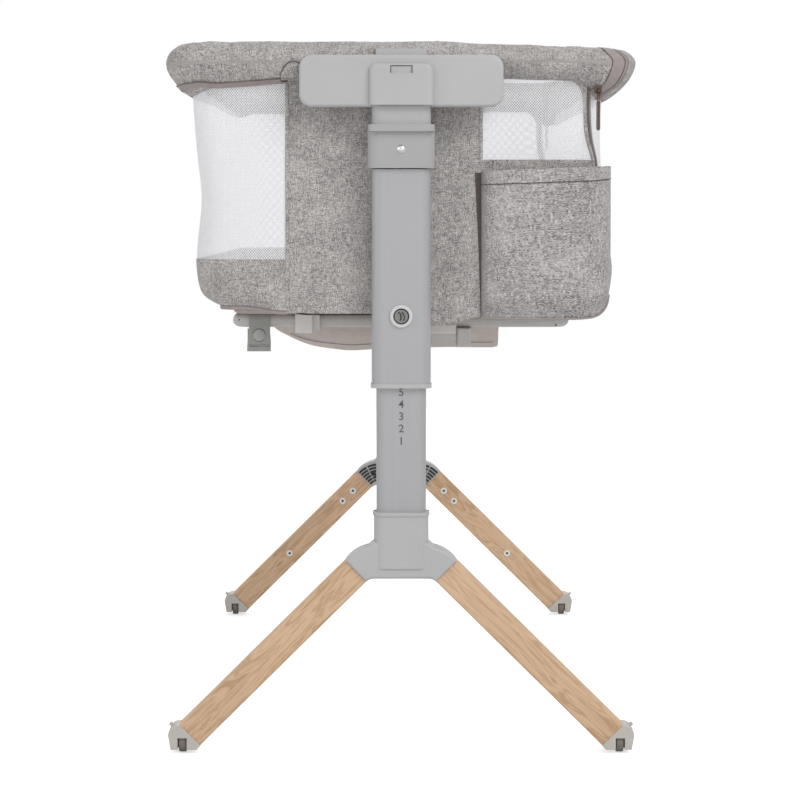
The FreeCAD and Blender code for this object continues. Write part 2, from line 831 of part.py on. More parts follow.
def build_foot():
    y0 = -column_y - arm_depth / 2
    upper = along_leg(leg_length, leg_width / 2, y0)
    lower = along_leg(leg_length, -leg_width / 2, y0)
    outer_low = V(foot_outer_x + foot_outer_lean, y0, foot_bottom)
    outer_mid = V(foot_outer_x, y0, foot_bottom + foot_outer_straight)
    arc_mid = V(foot_outer_x + foot_arc_inset, y0, foot_bottom + foot_arc_rise)
    inner_low = V(foot_inner_x, y0, foot_bottom)
    edges = [
        Part.LineSegment(lower, upper).toShape(),
        Part.Arc(upper, arc_mid, outer_mid).toShape(),
        Part.LineSegment(outer_mid, outer_low).toShape(),
        Part.LineSegment(outer_low, inner_low).toShape(),
        Part.LineSegment(inner_low, lower).toShape(),
    ]
    foot = Part.Face(Part.Wire(edges)).extrude(V(0, arm_depth, 0))

    def is_outline(edge):
        return spans(edge, "Y") < close

    foot = round_edges(foot, foot_round, is_outline)
    room = wheel_width / 2 + wheel_side_gap
    well = box(wheel_x - room, wheel_x + room, y0 - past, -column_y + wheel_radius + wheel_top_gap,
               -past, wheel_well_height)
    disc = rod(wheel_radius + wheel_top_gap, V(wheel_x - room, -column_y, wheel_radius),
               V(1, 0, 0), 2 * room)
    foot = foot.cut(well).cut(disc)
    bore = rod(axle_radius, V(wheel_x - axle_half, -column_y, wheel_radius), V(1, 0, 0), 2 * axle_half)
    return foot.cut(bore).cut(build_brake_room())


def brake_tab(extra):
    """The brake's flat tongue before it is tilted, grown by extra all round."""
    half_z = brake_thickness / 2 + extra
    half_y = brake_width / 2 + extra
    return box(brake_tip_x, brake_tip_x + brake_length + extra, -column_y - half_y, -column_y + half_y,
               brake_z - half_z, brake_z + half_z)


def brake_knuckle(extra):
    half_y = brake_width / 2 + extra
    return rod(brake_knuckle_radius + extra, V(brake_hinge_x, -column_y - half_y, brake_z), V(0, 1, 0),
               2 * half_y)


def tilted(shape, degrees):
    copy = shape.copy()
    copy.rotate(V(brake_hinge_x, -column_y, brake_z), V(0, 1, 0), degrees)
    return copy


def build_brake():
    return tilted(brake_tab(0), brake_rest_tilt).fuse(brake_knuckle(0))


def build_brake_room():
    """The slot in the foot that lets the brake turn down by its whole travel."""
    room = tilted(brake_tab(brake_gap), brake_rest_tilt)
    for i in range(1, brake_sweep_steps + 1):
        tilt = brake_rest_tilt - brake_turn * i / brake_sweep_steps
        room = room.fuse(tilted(brake_tab(brake_gap), tilt))
    return room.fuse(brake_knuckle(brake_gap))


def build_wheel():
    wheel = rod(wheel_radius, V(wheel_x - wheel_width / 2, -column_y, wheel_radius), V(1, 0, 0), wheel_width)

    def is_tread_edge(edge):
        return spans(edge, "X") < close

    wheel = round_edges(wheel, wheel_round, is_tread_edge)
    bore = rod(axle_radius + running_gap, V(wheel_x - wheel_width, -column_y, wheel_radius),
               V(1, 0, 0), 2 * wheel_width)
    return wheel.cut(bore)


def build_axle():
    return rod(axle_radius, V(wheel_x - axle_half, -column_y, wheel_radius), V(1, 0, 0), 2 * axle_half)


# ---------------------------------------------------------------- base
def build_base():
    loop = tube_loop(base_half_width, base_half_length, base_bend, base_tube_radius, base_z)
    bore = tube_loop(base_half_width, base_half_length, base_bend, base_tube_radius - base_tube_wall, base_z)
    save("base_frame", loop.cut(bore))
    save("base_board", rounded_prism(body_half_width - board_side_inset, base_half_length + board_overhang,
                                     board_corner, board_bottom, board_bottom + board_thickness))
    cloth_x = body_half_width - cloth_inset
    cloth_y = body_half_length - cloth_inset
    cloth = rounded_prism(cloth_x, cloth_y, body_corner_radius - cloth_inset, cloth_bottom,
                          cloth_bottom + cloth_thickness)
    save("base_cloth", group([cloth, build_sling()]))
    inside_x = body_half_width - wall_thickness - mattress_gap
    inside_y = body_half_length - wall_thickness - mattress_gap
    mattress = rounded_prism(inside_x, inside_y, mattress_corner, mattress_bottom,
                             mattress_bottom + mattress_thickness)

    def is_level(edge):
        return spans(edge, "Z") < close

    save("mattress", round_edges(mattress, mattress_round, is_level))


def build_clip(x):
    reach = base_tube_radius + clip_wall
    low = base_z - base_tube_radius - clip_wall
    block = box(x - clip_width / 2, x + clip_width / 2, -base_half_length - reach,
                -base_half_length + reach, low, board_bottom - layer_gap)
    channel = rod(base_tube_radius, V(x - clip_width, -base_half_length, base_z), V(1, 0, 0), 2 * clip_width)
    throat = box(x - clip_width, x + clip_width, -base_half_length - base_tube_radius,
                 -base_half_length + base_tube_radius, base_z, board_bottom + past)
    return block.cut(channel).cut(throat)


def build_base_clips():
    clips = []
    for x in clip_spots:
        clip = build_clip(x)
        clips.extend([clip, mirror_y(clip)])
    return clips


def build_latch_block():
    top = base_z - base_tube_radius - clip_wall
    front = -base_half_length - base_tube_radius
    left = clip_spots[1] - clip_width / 2
    return box(left, left + clip_width - latch_block_inset, front, front + latch_block_depth,
               top - latch_block_height, top)


def build_latch_lever():
    top = base_z - base_tube_radius - layer_gap
    front = -base_half_length - base_tube_radius - latch_proud
    left = clip_spots[1] + clip_width / 2 + latch_side_gap
    lever = box(left, left + latch_width, front, front + latch_depth, top - latch_height, top)

    def is_front_edge(edge):
        return edge.BoundBox.YMax < front + close

    return round_edges(lever, latch_round, is_front_edge)


def build_strap():
    front = -base_half_length - base_tube_radius
    x0 = strap_x - strap_width / 2
    x1 = strap_x + strap_width / 2
    outer = base_tube_radius + strap_thickness
    wrap = rod(outer, V(x0, -base_half_length, base_z), V(1, 0, 0), strap_width)
    tail = box(x0, x1, front - strap_thickness, front, base_z - strap_tail, base_z)
    hole = tube_loop(base_half_width, base_half_length, base_bend, base_tube_radius, base_z)
    stud = rod(stud_radius, V(strap_x, front - strap_thickness - stud_height, base_z - stud_drop),
               V(0, 1, 0), stud_height)
    above = box(x0 - past, x1 + past, -base_half_length - outer, -base_half_length + outer,
                board_bottom - layer_gap / 2, board_bottom + outer)
    return wrap.fuse(tail).cut(hole).cut(above).fuse(stud)


def build_sling():
    top = base_z - base_tube_radius - layer_gap
    half_length = base_half_length - sling_end_inset
    left = V(sling_left, -half_length, top)
    right = V(sling_right, -half_length, top)
    middle = V((sling_left + sling_right) / 2, -half_length, top - sling_drop)
    curve_mid = V(sling_left + sling_curve_x, -half_length, top - sling_drop + sling_curve_z)
    right_low = V(sling_right, -half_length, top - sling_right_drop)
    edges = [
        Part.Arc(left, curve_mid, middle).toShape(),
        Part.LineSegment(middle, right_low).toShape(),
        Part.LineSegment(right_low, right).toShape(),
        Part.LineSegment(right, left).toShape(),
    ]
    return Part.Face(Part.Wire(edges)).extrude(V(0, 2 * half_length, 0))


# ---------------------------------------------------------------- zip sliders and pulls
def build_slider():
    half = slider_size / 2
    body = box(slider_x - half, slider_x + half, end_face - slider_thickness, end_face,
               slider_z - half, slider_z + half)
    eye_z = slider_z - eye_drop
    ring = rod(eye_radius, V(slider_x - eye_width / 2, end_face - eye_reach, eye_z), V(1, 0, 0), eye_width)
    hole = rod(eye_hole_radius, V(slider_x - eye_width, end_face - eye_reach, eye_z), V(1, 0, 0),
               2 * eye_width)
    return body.fuse(ring).cut(hole)


def build_pull():
    eye_z = slider_z - eye_drop
    half = pull_width / 2
    pin = rod(pull_pin_radius, V(slider_x - half, end_face - eye_reach, eye_z), V(1, 0, 0), pull_width)
    y0 = end_face - eye_reach - pull_thickness / 2
    y1 = y0 + pull_thickness
    fork_inside = eye_width / 2 + pull_side_gap
    left = box(slider_x - half, slider_x - fork_inside, y0, y1, eye_z - pull_fork, eye_z)
    right = box(slider_x + fork_inside, slider_x + half, y0, y1, eye_z - pull_fork, eye_z)
    tab_top = eye_z - pull_fork + pull_fork_overlap
    tab = box(slider_x - half, slider_x + half, y0, y1, eye_z - pull_length, tab_top)
    return tab.fuse([left, right, pin])


# ---------------------------------------------------------------- write the nodes
def save_both(name, shape):
    save("near_" + name, shape)
    save("far_" + name, far_copy(shape))


def save_corners(name, shape):
    save("near_left_" + name, shape)
    save("near_right_" + name, mirror_x(shape))
    save("far_left_" + name, mirror_y(shape))
    save("far_right_" + name, mirror_x(mirror_y(shape)))


build_rim()
build_walls()
build_pocket()

save_both("bracket", build_bracket())
save_both("stub", build_stub())
pin = build_pin()
fasteners = [pin] + build_bracket_screws()
save("bracket_fasteners", group(fasteners + [far_copy(f) for f in fasteners]))

save_both("column_tube", build_column_tube())
save_both("hinge_insert", build_hinge_insert())
save_both("column_bush", build_bush())
save_both("button_bezel", build_bezel())
save_both("button", build_button())
save_both("lock_collar", build_collar())
save_both("collar_screw", build_collar_screw())

save_both("inner_tube", build_inner_tube())
save_both("leg_hub", build_hub())
left_leg = build_wood_leg()
save_both("wood_legs", group([left_leg, mirror_x(left_leg)]))
left_foot = build_foot()
save_both("foot_caps", group([left_foot, mirror_x(left_foot)]))
left_screws = build_leg_screws()
steel = left_screws + [mirror_x(s) for s in left_screws]
save_both("leg_screws", group(steel))
left_axle = build_axle()
save_both("wheel_axles", group([left_axle, mirror_x(left_axle)]))
save_corners("wheel", build_wheel())
save_corners("brake", build_brake())

build_base()
save("base_clips", group(build_base_clips() + [build_latch_block()]))
save("latch_lever", build_latch_lever())
save("bed_strap", build_strap())

slider = build_slider()
save("zip_sliders", group([slider, mirror_y(slider)]))
pull = build_pull()
save("near_zip_pull", pull)
save("far_zip_pull", mirror_y(pull))
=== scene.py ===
import bpy
import bmesh
import math
from mathutils import Matrix, Vector, noise


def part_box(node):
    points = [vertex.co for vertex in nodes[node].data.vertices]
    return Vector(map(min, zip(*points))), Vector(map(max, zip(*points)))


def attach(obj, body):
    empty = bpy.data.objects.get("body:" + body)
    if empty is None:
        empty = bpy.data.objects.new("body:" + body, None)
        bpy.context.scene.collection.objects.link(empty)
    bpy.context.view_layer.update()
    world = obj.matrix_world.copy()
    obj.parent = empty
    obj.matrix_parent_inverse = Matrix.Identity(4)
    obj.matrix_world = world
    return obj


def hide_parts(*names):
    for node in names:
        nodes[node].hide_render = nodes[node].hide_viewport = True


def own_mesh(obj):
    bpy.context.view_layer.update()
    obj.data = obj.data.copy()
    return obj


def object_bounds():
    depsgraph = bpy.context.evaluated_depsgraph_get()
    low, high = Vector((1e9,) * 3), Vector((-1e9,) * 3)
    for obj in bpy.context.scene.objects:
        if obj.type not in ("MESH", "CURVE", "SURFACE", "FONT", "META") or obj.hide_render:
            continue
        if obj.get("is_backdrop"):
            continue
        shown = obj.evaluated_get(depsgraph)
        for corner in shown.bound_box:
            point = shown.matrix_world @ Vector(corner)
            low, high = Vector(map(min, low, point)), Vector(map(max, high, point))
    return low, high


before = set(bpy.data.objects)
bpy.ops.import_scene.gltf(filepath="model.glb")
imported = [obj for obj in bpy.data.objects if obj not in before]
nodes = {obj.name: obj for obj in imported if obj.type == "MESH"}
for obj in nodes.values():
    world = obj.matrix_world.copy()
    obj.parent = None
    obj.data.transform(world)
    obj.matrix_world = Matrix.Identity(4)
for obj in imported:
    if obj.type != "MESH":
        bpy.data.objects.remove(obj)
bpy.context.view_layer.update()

# ------------------------------------------------------------------ camera
# The photograph was taken from far in front of the near end, low enough to look up under the rim.
CAMERA_PLACE = (-0.0133, -2.996, 0.646)
CAMERA_DIP = 2.49


def in_scene(name, data):
    """A new object for data, in the scene's own collection."""
    obj = bpy.data.objects.new(name, data)
    bpy.context.scene.collection.objects.link(obj)
    return obj


camera_data = bpy.data.cameras.new("camera")
camera = in_scene("camera", camera_data)
bpy.context.scene.camera = camera
camera.location = CAMERA_PLACE
camera.rotation_euler = (math.radians(90 - CAMERA_DIP), 0, 0)
camera_data.sensor_width = 36.0
camera_data.lens = 97.2
camera_data.shift_x = 0.0125
camera_data.shift_y = -0.12
camera_data.clip_end = 60.0

# ------------------------------------------------------------------ sizes shared with the frame
BODY_X, BODY_Y, BODY_R = 0.2485, 0.4165, 0.0445
RIM_X, RIM_Y, RIM_R = 0.262, 0.419, 0.054
RIM_TOP = 0.846
RIM_H = 0.046
WALL_TOP = 0.8060
PANEL_X = -0.136
WINDOW_X0, WINDOW_X1, WINDOW_Z = 0.095, 0.2155, 0.706
WINDOW_TURN = 0.777
PANEL_EDGE = 0.2365
BAND_Z = 0.587
LEG_TILT = 44.75
ENDS = (("near", -1), ("far", 1))


# ------------------------------------------------------------------ curves and surfaces
def lerp(a, b, t):
    return a + (b - a) * t


def circle(count):
    """The angles of count points round a circle."""
    return [2 * math.pi * k / count for k in range(count)]


def smooth(t):
    t = min(max(t, 0.0), 1.0)
    return t * t * (3 - 2 * t)


def halved(lo, hi, too_low):
    """The place between lo and hi where too_low turns from true to false."""
    for _ in range(30):
        mid = (lo + hi) / 2
        if too_low(mid):
            lo = mid
        else:
            hi = mid
    return (lo + hi) / 2


def table_value(rows, x):
    """Smooth value from rows of (x, value), x rising."""
    if x <= rows[0][0]:
        return rows[0][1]
    for (x0, v0), (x1, v1) in zip(rows, rows[1:]):
        if x <= x1:
            return lerp(v0, v1, smooth((x - x0) / (x1 - x0)))
    return rows[-1][1]


def curve_value(rows, x):
    """A smooth curve through rows of (x, value), x rising."""
    if x <= rows[0][0]:
        return rows[0][1]
    if x >= rows[-1][0]:
        return rows[-1][1]
    i = 0
    while rows[i + 1][0] < x:
        i += 1

    def slope(k):
        if k <= 0 or k >= len(rows) - 1:
            return 0.0
        return (rows[k + 1][1] - rows[k - 1][1]) / (rows[k + 1][0] - rows[k - 1][0])

    (x0, v0), (x1, v1) = rows[i], rows[i + 1]
    h = x1 - x0
    t = (x - x0) / h
    return (v0 * (2 * t ** 3 - 3 * t * t + 1) + slope(i) * h * (t ** 3 - 2 * t * t + t)
            + v1 * (3 * t * t - 2 * t ** 3) + slope(i + 1) * h * (t ** 3 - t * t))


def catmull(points, t):
    """A smooth path through points, with t from 0 to 1."""
    count = len(points) - 1
    x = min(max(t, 0.0), 1.0) * count
    i = min(int(x), count - 1)
    f = x - i
    p0, p1 = points[max(i - 1, 0)], points[i]
    p2, p3 = points[i + 1], points[min(i + 2, count)]
    return tuple(0.5 * (2 * b + (c - a) * f + (2 * a - 5 * b + 4 * c - d) * f * f
                        + (3 * b - a - 3 * c + d) * f ** 3)
                 for a, b, c, d in zip(p0, p1, p2, p3))


def ring(p, hx, hy, r):
    """Point and outward normal at distance p along a rounded rectangle, from the middle of the
    near side and leftwards."""
    sx, sy, arc = hx - r, hy - r, math.pi * r / 2
    total = 4 * sx + 4 * sy + 4 * arc
    p = p % total
    if p <= sx:
        return Vector((-p, -hy)), Vector((0, -1))
    p -= sx
    for cx, cy, start, run, along in ((-sx, -sy, 270, 2 * sy, (0, 1)), (-sx, sy, 180, 2 * sx, (1, 0)),
                                      (sx, sy, 90, 2 * sy, (0, -1)), (sx, -sy, 0, sx, (-1, 0))):
        if p <= arc:
            a = math.radians(start) - p / r
            n = Vector((math.cos(a), math.sin(a)))
            return Vector((cx, cy)) + n * r, n
        p -= arc
        a = math.radians(start - 90)
        n = Vector((math.cos(a), math.sin(a)))
        if p <= run:
            return Vector((cx, cy)) + n * r + Vector(along) * p, n
        p -= run
    return Vector((0, -hy)), Vector((0, -1))


def ring_length(hx, hy, r):
    """The way round a rounded rectangle."""
    return 4 * (hx - r) + 4 * (hy - r) + 2 * math.pi * r


BODY_LEN = ring_length(BODY_X, BODY_Y, BODY_R)
RIM_LEN = ring_length(RIM_X, RIM_Y, RIM_R)

# Each row is a height and how far the wall stands out from its plan ring there.
LEFT_PROFILE = ((0.520, -0.048), (0.5285, -0.040), (0.5326, -0.0263), (0.541, -0.012), (0.5505, -0.0055),
                (0.574, -0.0015), (0.598, -0.0015), (0.622, -0.0036), (0.646, -0.006), (0.670, -0.006),
                (0.7176, -0.0013), (0.7654, 0.0025), (0.806, 0.004))
RIGHT_PROFILE = ((0.520, -0.009), (0.5326, 0.000), (0.5505, 0.0045), (0.574, 0.007), (0.598, 0.004),
                 (0.622, 0.001), (0.670, -0.004), (0.7176, -0.007), (0.7654, -0.007), (0.806, -0.004))


def wall_point(p, z, push=0.0):
    """A point of the sewn wall: the plan ring, pulled in or let out as the cloth is at that height."""
    spot, n = ring(p, BODY_X, BODY_Y, BODY_R)
    side = abs(n.x)
    length_share = max(0.0, 1 - abs(spot.y) / (BODY_Y - BODY_R))
    if n.x < -0.001 or (spot.x < PANEL_X and abs(spot.y) > BODY_Y - BODY_R):
        fade = smooth((PANEL_X - spot.x) / 0.045)
        out = curve_value(LEFT_PROFILE, z) * lerp(0.35, 1.0, side) * fade
        sag = -0.007 * length_share ** 0.6 * math.sin(math.pi * min(max((z - 0.587) / 0.213, 0), 1)) * side
    elif n.x > 0.001:
        out = curve_value(RIGHT_PROFILE, z) * side
        sag = -0.005 * length_share ** 0.6 * math.sin(math.pi * min(max((z - 0.6) / 0.2, 0), 1)) * side
    else:
        out, sag = 0.0, 0.0
    out += sag + push
    out += 0.0009 * noise.noise(Vector((spot.x * 14, spot.y * 14, z * 17)))
    return Vector((spot.x + n.x * out, spot.y + n.y * out, z))


# Each row is a height and the place x, on the right corner, of the zip line and of the window's edge.
ZIP_LINE = ((0.60, 0.2376), (0.702, 0.2356), (0.732, 0.2272), (0.763, 0.2236), (0.80, 0.2236))
WINDOW_EDGE = ((0.60, 0.2155), (0.700, 0.2312), (0.7069, 0.2296), (0.7168, 0.2256), (0.7368, 0.2196),
               (0.760, 0.2178), (0.777, 0.2172), (0.785, 0.2155), (0.790, 0.2135), (0.795, 0.2100),
               (0.7989, 0.2040), (0.806, 0.2010))


def zip_p(z, far=False):
    """Distance along the ring of the zip line at height z, on the near or the far right corner."""
    return corner_p(curve_value(ZIP_LINE, z), far)


def corner_p(target, far=False):
    """Distance along the ring of a place x on the right corner."""
    near_corner = BODY_LEN - (BODY_X - BODY_R) - math.pi * BODY_R / 2
    near = halved(near_corner, BODY_LEN, lambda p: ring(p, BODY_X, BODY_Y, BODY_R)[0].x > target)
    return BODY_LEN / 2 + (BODY_LEN - near) if far else near


def face_p(x, far=False):
    """Distance along the ring of a place x on the flat part of the near or far face."""
    p = -x % BODY_LEN
    return p if not far else BODY_LEN / 2 + x


# ------------------------------------------------------------------ making objects
def piece_of(name, mesh, body):
    """A piece that rides on body and takes its look from the material slot."""
    obj = in_scene(name, mesh)
    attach(obj, body)
    return obj


def make(name, verts, faces, uvs, material, body, smooth_faces=True):
    """A piece from points, faces, texture coordinates in metres and one material."""
    mesh = bpy.data.meshes.new(name)
    mesh.from_pydata([tuple(v) for v in verts], [], faces)
    layer = mesh.uv_layers.new(name="UVMap")
    for loop in mesh.loops:
        layer.data[loop.index].uv = uvs[loop.vertex_index]
    mesh.materials.append(material)
    mesh.polygons.foreach_set("use_smooth", [smooth_faces] * len(mesh.polygons))
    return piece_of(name, mesh, body)


def grid_faces(rows, cols, wrap_rows=False, wrap_cols=False, skip=None):
    faces = []
    for i in range(rows if wrap_rows else rows - 1):
        for j in range(cols if wrap_cols else cols - 1):
            if skip and skip(i, j):
                continue
            a, b = i * cols + j, i * cols + (j + 1) % cols
            c, d = ((i + 1) % rows) * cols + (j + 1) % cols, ((i + 1) % rows) * cols + j
            faces.append((a, b, c, d))
    return faces


def tube_faces(rows, sides, inward=False):
    """The wall of a closed form of rows rings, and its two end caps."""
    first, last = list(range(sides)), [(rows - 1) * sides + k for k in range(sides)]
    if inward:
        first.reverse()
    else:
        last.reverse()
    return grid_faces(rows, sides, wrap_cols=True) + [tuple(first), tuple(last)]


def surface(name, point, us, vs, material, body, skip=None, uv=None):
    """A grid of point(u, v); its texture coordinates are in metres along both directions."""
    verts, uvs = [], []
    for v in vs:
        for u in us:
            verts.append(point(u, v))
            uvs.append(uv(u, v) if uv else (u, v))
    faces = grid_faces(len(vs), len(us), skip=skip)
    used = sorted({i for f in faces for i in f})
    renumber = {old: new for new, old in enumerate(used)}
    verts = [verts[i] for i in used]
    uvs = [uvs[i] for i in used]
    faces = [tuple(renumber[i] for i in f) for f in faces]
    return make(name, verts, faces, uvs, material, body)


def steps(a, b, n):
    return [lerp(a, b, i / n) for i in range(n + 1)]


def tube_along(name, points, radius, material, body, sides=8, up=None, closed=False):
    """A round strand along points, for piping, thread and binding."""
    verts, uvs = [], []
    count = len(points)
    travelled = 0.0
    for i, point in enumerate(points):
        before = points[(i - 1) % count] if closed or i else points[0]
        after = points[(i + 1) % count] if closed or i < count - 1 else points[-1]
        ahead = (after - before).normalized()
        reference = up(point) if up else Vector((0, 0, 1))
        side = ahead.cross(reference)
        if side.length < 1e-6:
            side = ahead.orthogonal()
        side.normalize()
        top = side.cross(ahead).normalized()
        if i:
            travelled += (point - points[i - 1]).length
        for a in circle(sides):
            verts.append(point + side * (radius * math.cos(a)) + top * (radius * math.sin(a)))
            uvs.append((travelled, radius * a))
    faces = grid_faces(count, sides, wrap_rows=True, wrap_cols=True) if closed else tube_faces(count, sides)
    return make(name, verts, faces, uvs, material, body)


def strip_along(name, points, normals, half_width, thickness, material, body):
    """A flat band laid on a surface: points on its middle line, normals out of the surface."""
    across = 5
    verts, uvs = [], []
    travelled = 0.0
    count = len(points)
    for i, point in enumerate(points):
        before, after = points[max(i - 1, 0)], points[min(i + 1, count - 1)]
        ahead = (after - before).normalized()
        side = ahead.cross(normals[i]).normalized()
        if i:
            travelled += (point - points[i - 1]).length
        for k in range(across + 1):
            t = lerp(-1, 1, k / across)
            lift = thickness * (1 - t ** 4)
            verts.append(point + side * (half_width * t) + normals[i] * lift)
            uvs.append((travelled, half_width * t))
    return make(name, verts, grid_faces(count, across + 1), uvs, material, body)


# ------------------------------------------------------------------ materials
def linear(r, g, b):
    def one(c):
        c /= 255
        return c / 12.92 if c <= 0.04045 else ((c + 0.055) / 1.055) ** 2.4
    return (one(r), one(g), one(b), 1.0)


class Shader:
    """A material on the Principled shader, and short ways to build its nodes."""

    def __init__(self, name, colour, rough=0.5, metallic=0.0, specular=0.5):
        self.mat = bpy.data.materials.new(name)
        self.mat.use_nodes = True
        self.tree = self.mat.node_tree
        self.bsdf = self.tree.nodes["Principled BSDF"]
        self.bsdf.inputs["Base Color"].default_value = colour
        self.bsdf.inputs["Roughness"].default_value = rough
        self.bsdf.inputs["Metallic"].default_value = metallic
        self.bsdf.inputs["Specular IOR Level"].default_value = specular

    def node(self, kind):
        return self.tree.nodes.new(kind)

    def link(self, a, b):
        self.tree.links.new(a, b)

    def coords(self, kind, scale, rotation=(0, 0, 0)):
        mapping = self.node("ShaderNodeMapping")
        mapping.inputs["Scale"].default_value = scale
        mapping.inputs["Rotation"].default_value = rotation
        self.link(self.node("ShaderNodeTexCoord").outputs[kind], mapping.inputs["Vector"])
        return mapping.outputs["Vector"]

    def split(self, kind):
        """The X, Y and Z of the texture coordinates."""
        parts = self.node("ShaderNodeSeparateXYZ")
        self.link(self.node("ShaderNodeTexCoord").outputs[kind], parts.inputs[0])
        return parts.outputs

    def noise(self, vector, detail=2.0, roughness=0.55, distortion=0.0):
        n = self.node("ShaderNodeTexNoise")
        n.inputs["Scale"].default_value = 1.0
        n.inputs["Detail"].default_value = detail
        n.inputs["Roughness"].default_value = roughness
        n.inputs["Distortion"].default_value = distortion
        self.link(vector, n.inputs["Vector"])
        return n.outputs["Fac"]

    def cells(self, vector):
        """Distance to the nearest cell centre; the caller may set how regular the cells are."""
        n = self.node("ShaderNodeTexVoronoi")
        n.inputs["Scale"].default_value = 1.0
        self.link(vector, n.inputs["Vector"])
        return n

    def math(self, op, a, b=None, c=None):
        n = self.node("ShaderNodeMath")
        n.operation = op
        for i, value in enumerate((a, b, c)):
            if value is None:
                continue
            if isinstance(value, (int, float)):
                n.inputs[i].default_value = value
            else:
                self.link(value, n.inputs[i])
        return n.outputs[0]

    def vector(self, x, y, z):
        """One vector from three sockets or numbers."""
        n = self.node("ShaderNodeCombineXYZ")
        for i, value in enumerate((x, y, z)):
            if isinstance(value, (int, float)):
                n.inputs[i].default_value = value
            else:
                self.link(value, n.inputs[i])
        return n.outputs[0]

    def colours(self, fac, stops):
        """The base colour from a ramp of (position, colour)."""
        n = self.node("ShaderNodeValToRGB")
        elements = n.color_ramp.elements
        while len(elements) > 1:
            elements.remove(elements[-1])
        elements[0].position, elements[0].color = stops[0]
        for position, colour in stops[1:]:
            elements.new(position).color = colour
        self.link(fac, n.inputs["Fac"])
        self.link(n.outputs["Color"], self.bsdf.inputs["Base Color"])

    def tint(self, fac, colour, dark, light, spread=0.2):
        """The base colour runs from dark to light times colour as fac rises past a half."""
        self.colours(fac, [(0.5 - spread, shade(colour, dark)), (0.5 + spread, shade(colour, light))])

    def gloss(self, fac, rough, swing):
        """Roughness that wanders by swing about rough."""
        self.link(self.math("MULTIPLY_ADD", fac, swing, rough - swing / 2), self.bsdf.inputs["Roughness"])

    def bump(self, height, strength, distance):
        n = self.node("ShaderNodeBump")
        n.inputs["Strength"].default_value = strength
        n.inputs["Distance"].default_value = distance
        self.link(height, n.inputs["Height"])
        self.link(n.outputs["Normal"], self.bsdf.inputs["Normal"])

    def sheen(self, weight, rough=0.5):
        self.bsdf.inputs["Sheen Weight"].default_value = weight
        self.bsdf.inputs["Sheen Roughness"].default_value = rough


def shade(colour, factor):
    return tuple(min(1.0, c * factor) for c in colour[:3]) + (1.0,)


def woven(name, colour, contrast=0.42, pitch=0.00125, bump=0.5):
    """A melange weave: each thread has its own light and dark stretches, and crossing threads take
    turns on top, over soft patches of colour."""
    s = Shader(name, colour, 0.92, specular=0.22)
    across = s.split("UV")
    wobble = s.math("MULTIPLY", s.noise(s.coords("UV", (60, 60, 1)), detail=1.0), 2.4)
    u = s.math("MULTIPLY_ADD", across["X"], 1 / pitch, wobble)
    v = s.math("MULTIPLY_ADD", across["Y"], 1 / pitch, wobble)
    iu, iv = s.math("FLOOR", u), s.math("FLOOR", v)

    def thread(fixed, run, seed):
        spot = s.vector(s.math("MULTIPLY", fixed, 3.713), s.math("MULTIPLY", run, 0.24), seed)
        return s.noise(spot, roughness=0.7)

    over = s.node("ShaderNodeMix")
    s.link(s.math("PINGPONG", s.math("ADD", iu, iv), 1.0), over.inputs[0])
    s.link(thread(iu, v, 1.5), over.inputs[2])
    s.link(thread(iv, u, 7.5), over.inputs[3])
    fine = s.noise(s.coords("UV", (430, 430, 1)), detail=3.0, roughness=0.7)
    broad = s.noise(s.coords("UV", (24, 24, 1)))
    fine_share, broad_share = 0.28, 0.22
    value = s.math("MULTIPLY_ADD", fine, fine_share, over.outputs[0])
    value = s.math("MULTIPLY_ADD", broad, broad_share, value)
    value = s.math("MULTIPLY", value, 1 / (1 + fine_share + broad_share))
    spread = 0.115
    s.colours(value, [(0.5 - spread, shade(colour, 1 - contrast)), (0.5, colour),
                      (0.5 + spread, shade(colour, 1 + contrast * 1.05))])
    bow = s.math("MULTIPLY", *[s.math("SINE", s.math("MULTIPLY", way, math.pi)) for way in (u, v)])
    s.bump(s.math("MULTIPLY_ADD", s.math("ABSOLUTE", bow), 0.5, value), bump, 0.0007)
    s.sheen(0.12, 0.6)
    return s.mat


def net(name, colour):
    """Warp-knit mesh: a diamond lattice of small round holes."""
    pitch, hole, soft_edge = 0.0021, 0.35, 0.05
    s = Shader(name, colour, 0.75, specular=0.3)
    cell = s.cells(s.coords("UV", (1 / pitch, 0.86 / pitch, 1), (0, 0, math.radians(45))))
    cell.inputs["Randomness"].default_value = 0.0
    edge = s.node("ShaderNodeMapRange")
    edge.inputs["From Min"].default_value = hole - soft_edge
    edge.inputs["From Max"].default_value = hole + soft_edge
    s.link(cell.outputs["Distance"], edge.inputs["Value"])
    s.link(edge.outputs["Result"], s.bsdf.inputs["Alpha"])
    s.tint(s.noise(s.coords("UV", (420, 420, 1))), colour, 0.93, 1.05, 0.15)
    s.bump(cell.outputs["Distance"], 0.3, 0.0006)
    s.sheen(0.1)
    return s.mat


def ribbed(name, colour, pitch, contrast, bump=0.35):
    """Tape and webbing: close ribs, a little uneven in colour."""
    s = Shader(name, colour, 0.8, specular=0.3)
    along = s.split("UV")
    rib = s.math("SINE", s.math("MULTIPLY", along["X"], 2 * math.pi / pitch))
    cross = s.math("SINE", s.math("MULTIPLY", along["Y"], 2 * math.pi / (pitch * 2.5)))
    s.tint(s.noise(s.coords("UV", (90, 260, 1)), detail=3.0), colour, 1 - contrast, 1 + contrast)
    s.bump(s.math("MULTIPLY_ADD", cross, 0.4, rib), bump, 0.0003)
    s.sheen(0.12)
    return s.mat


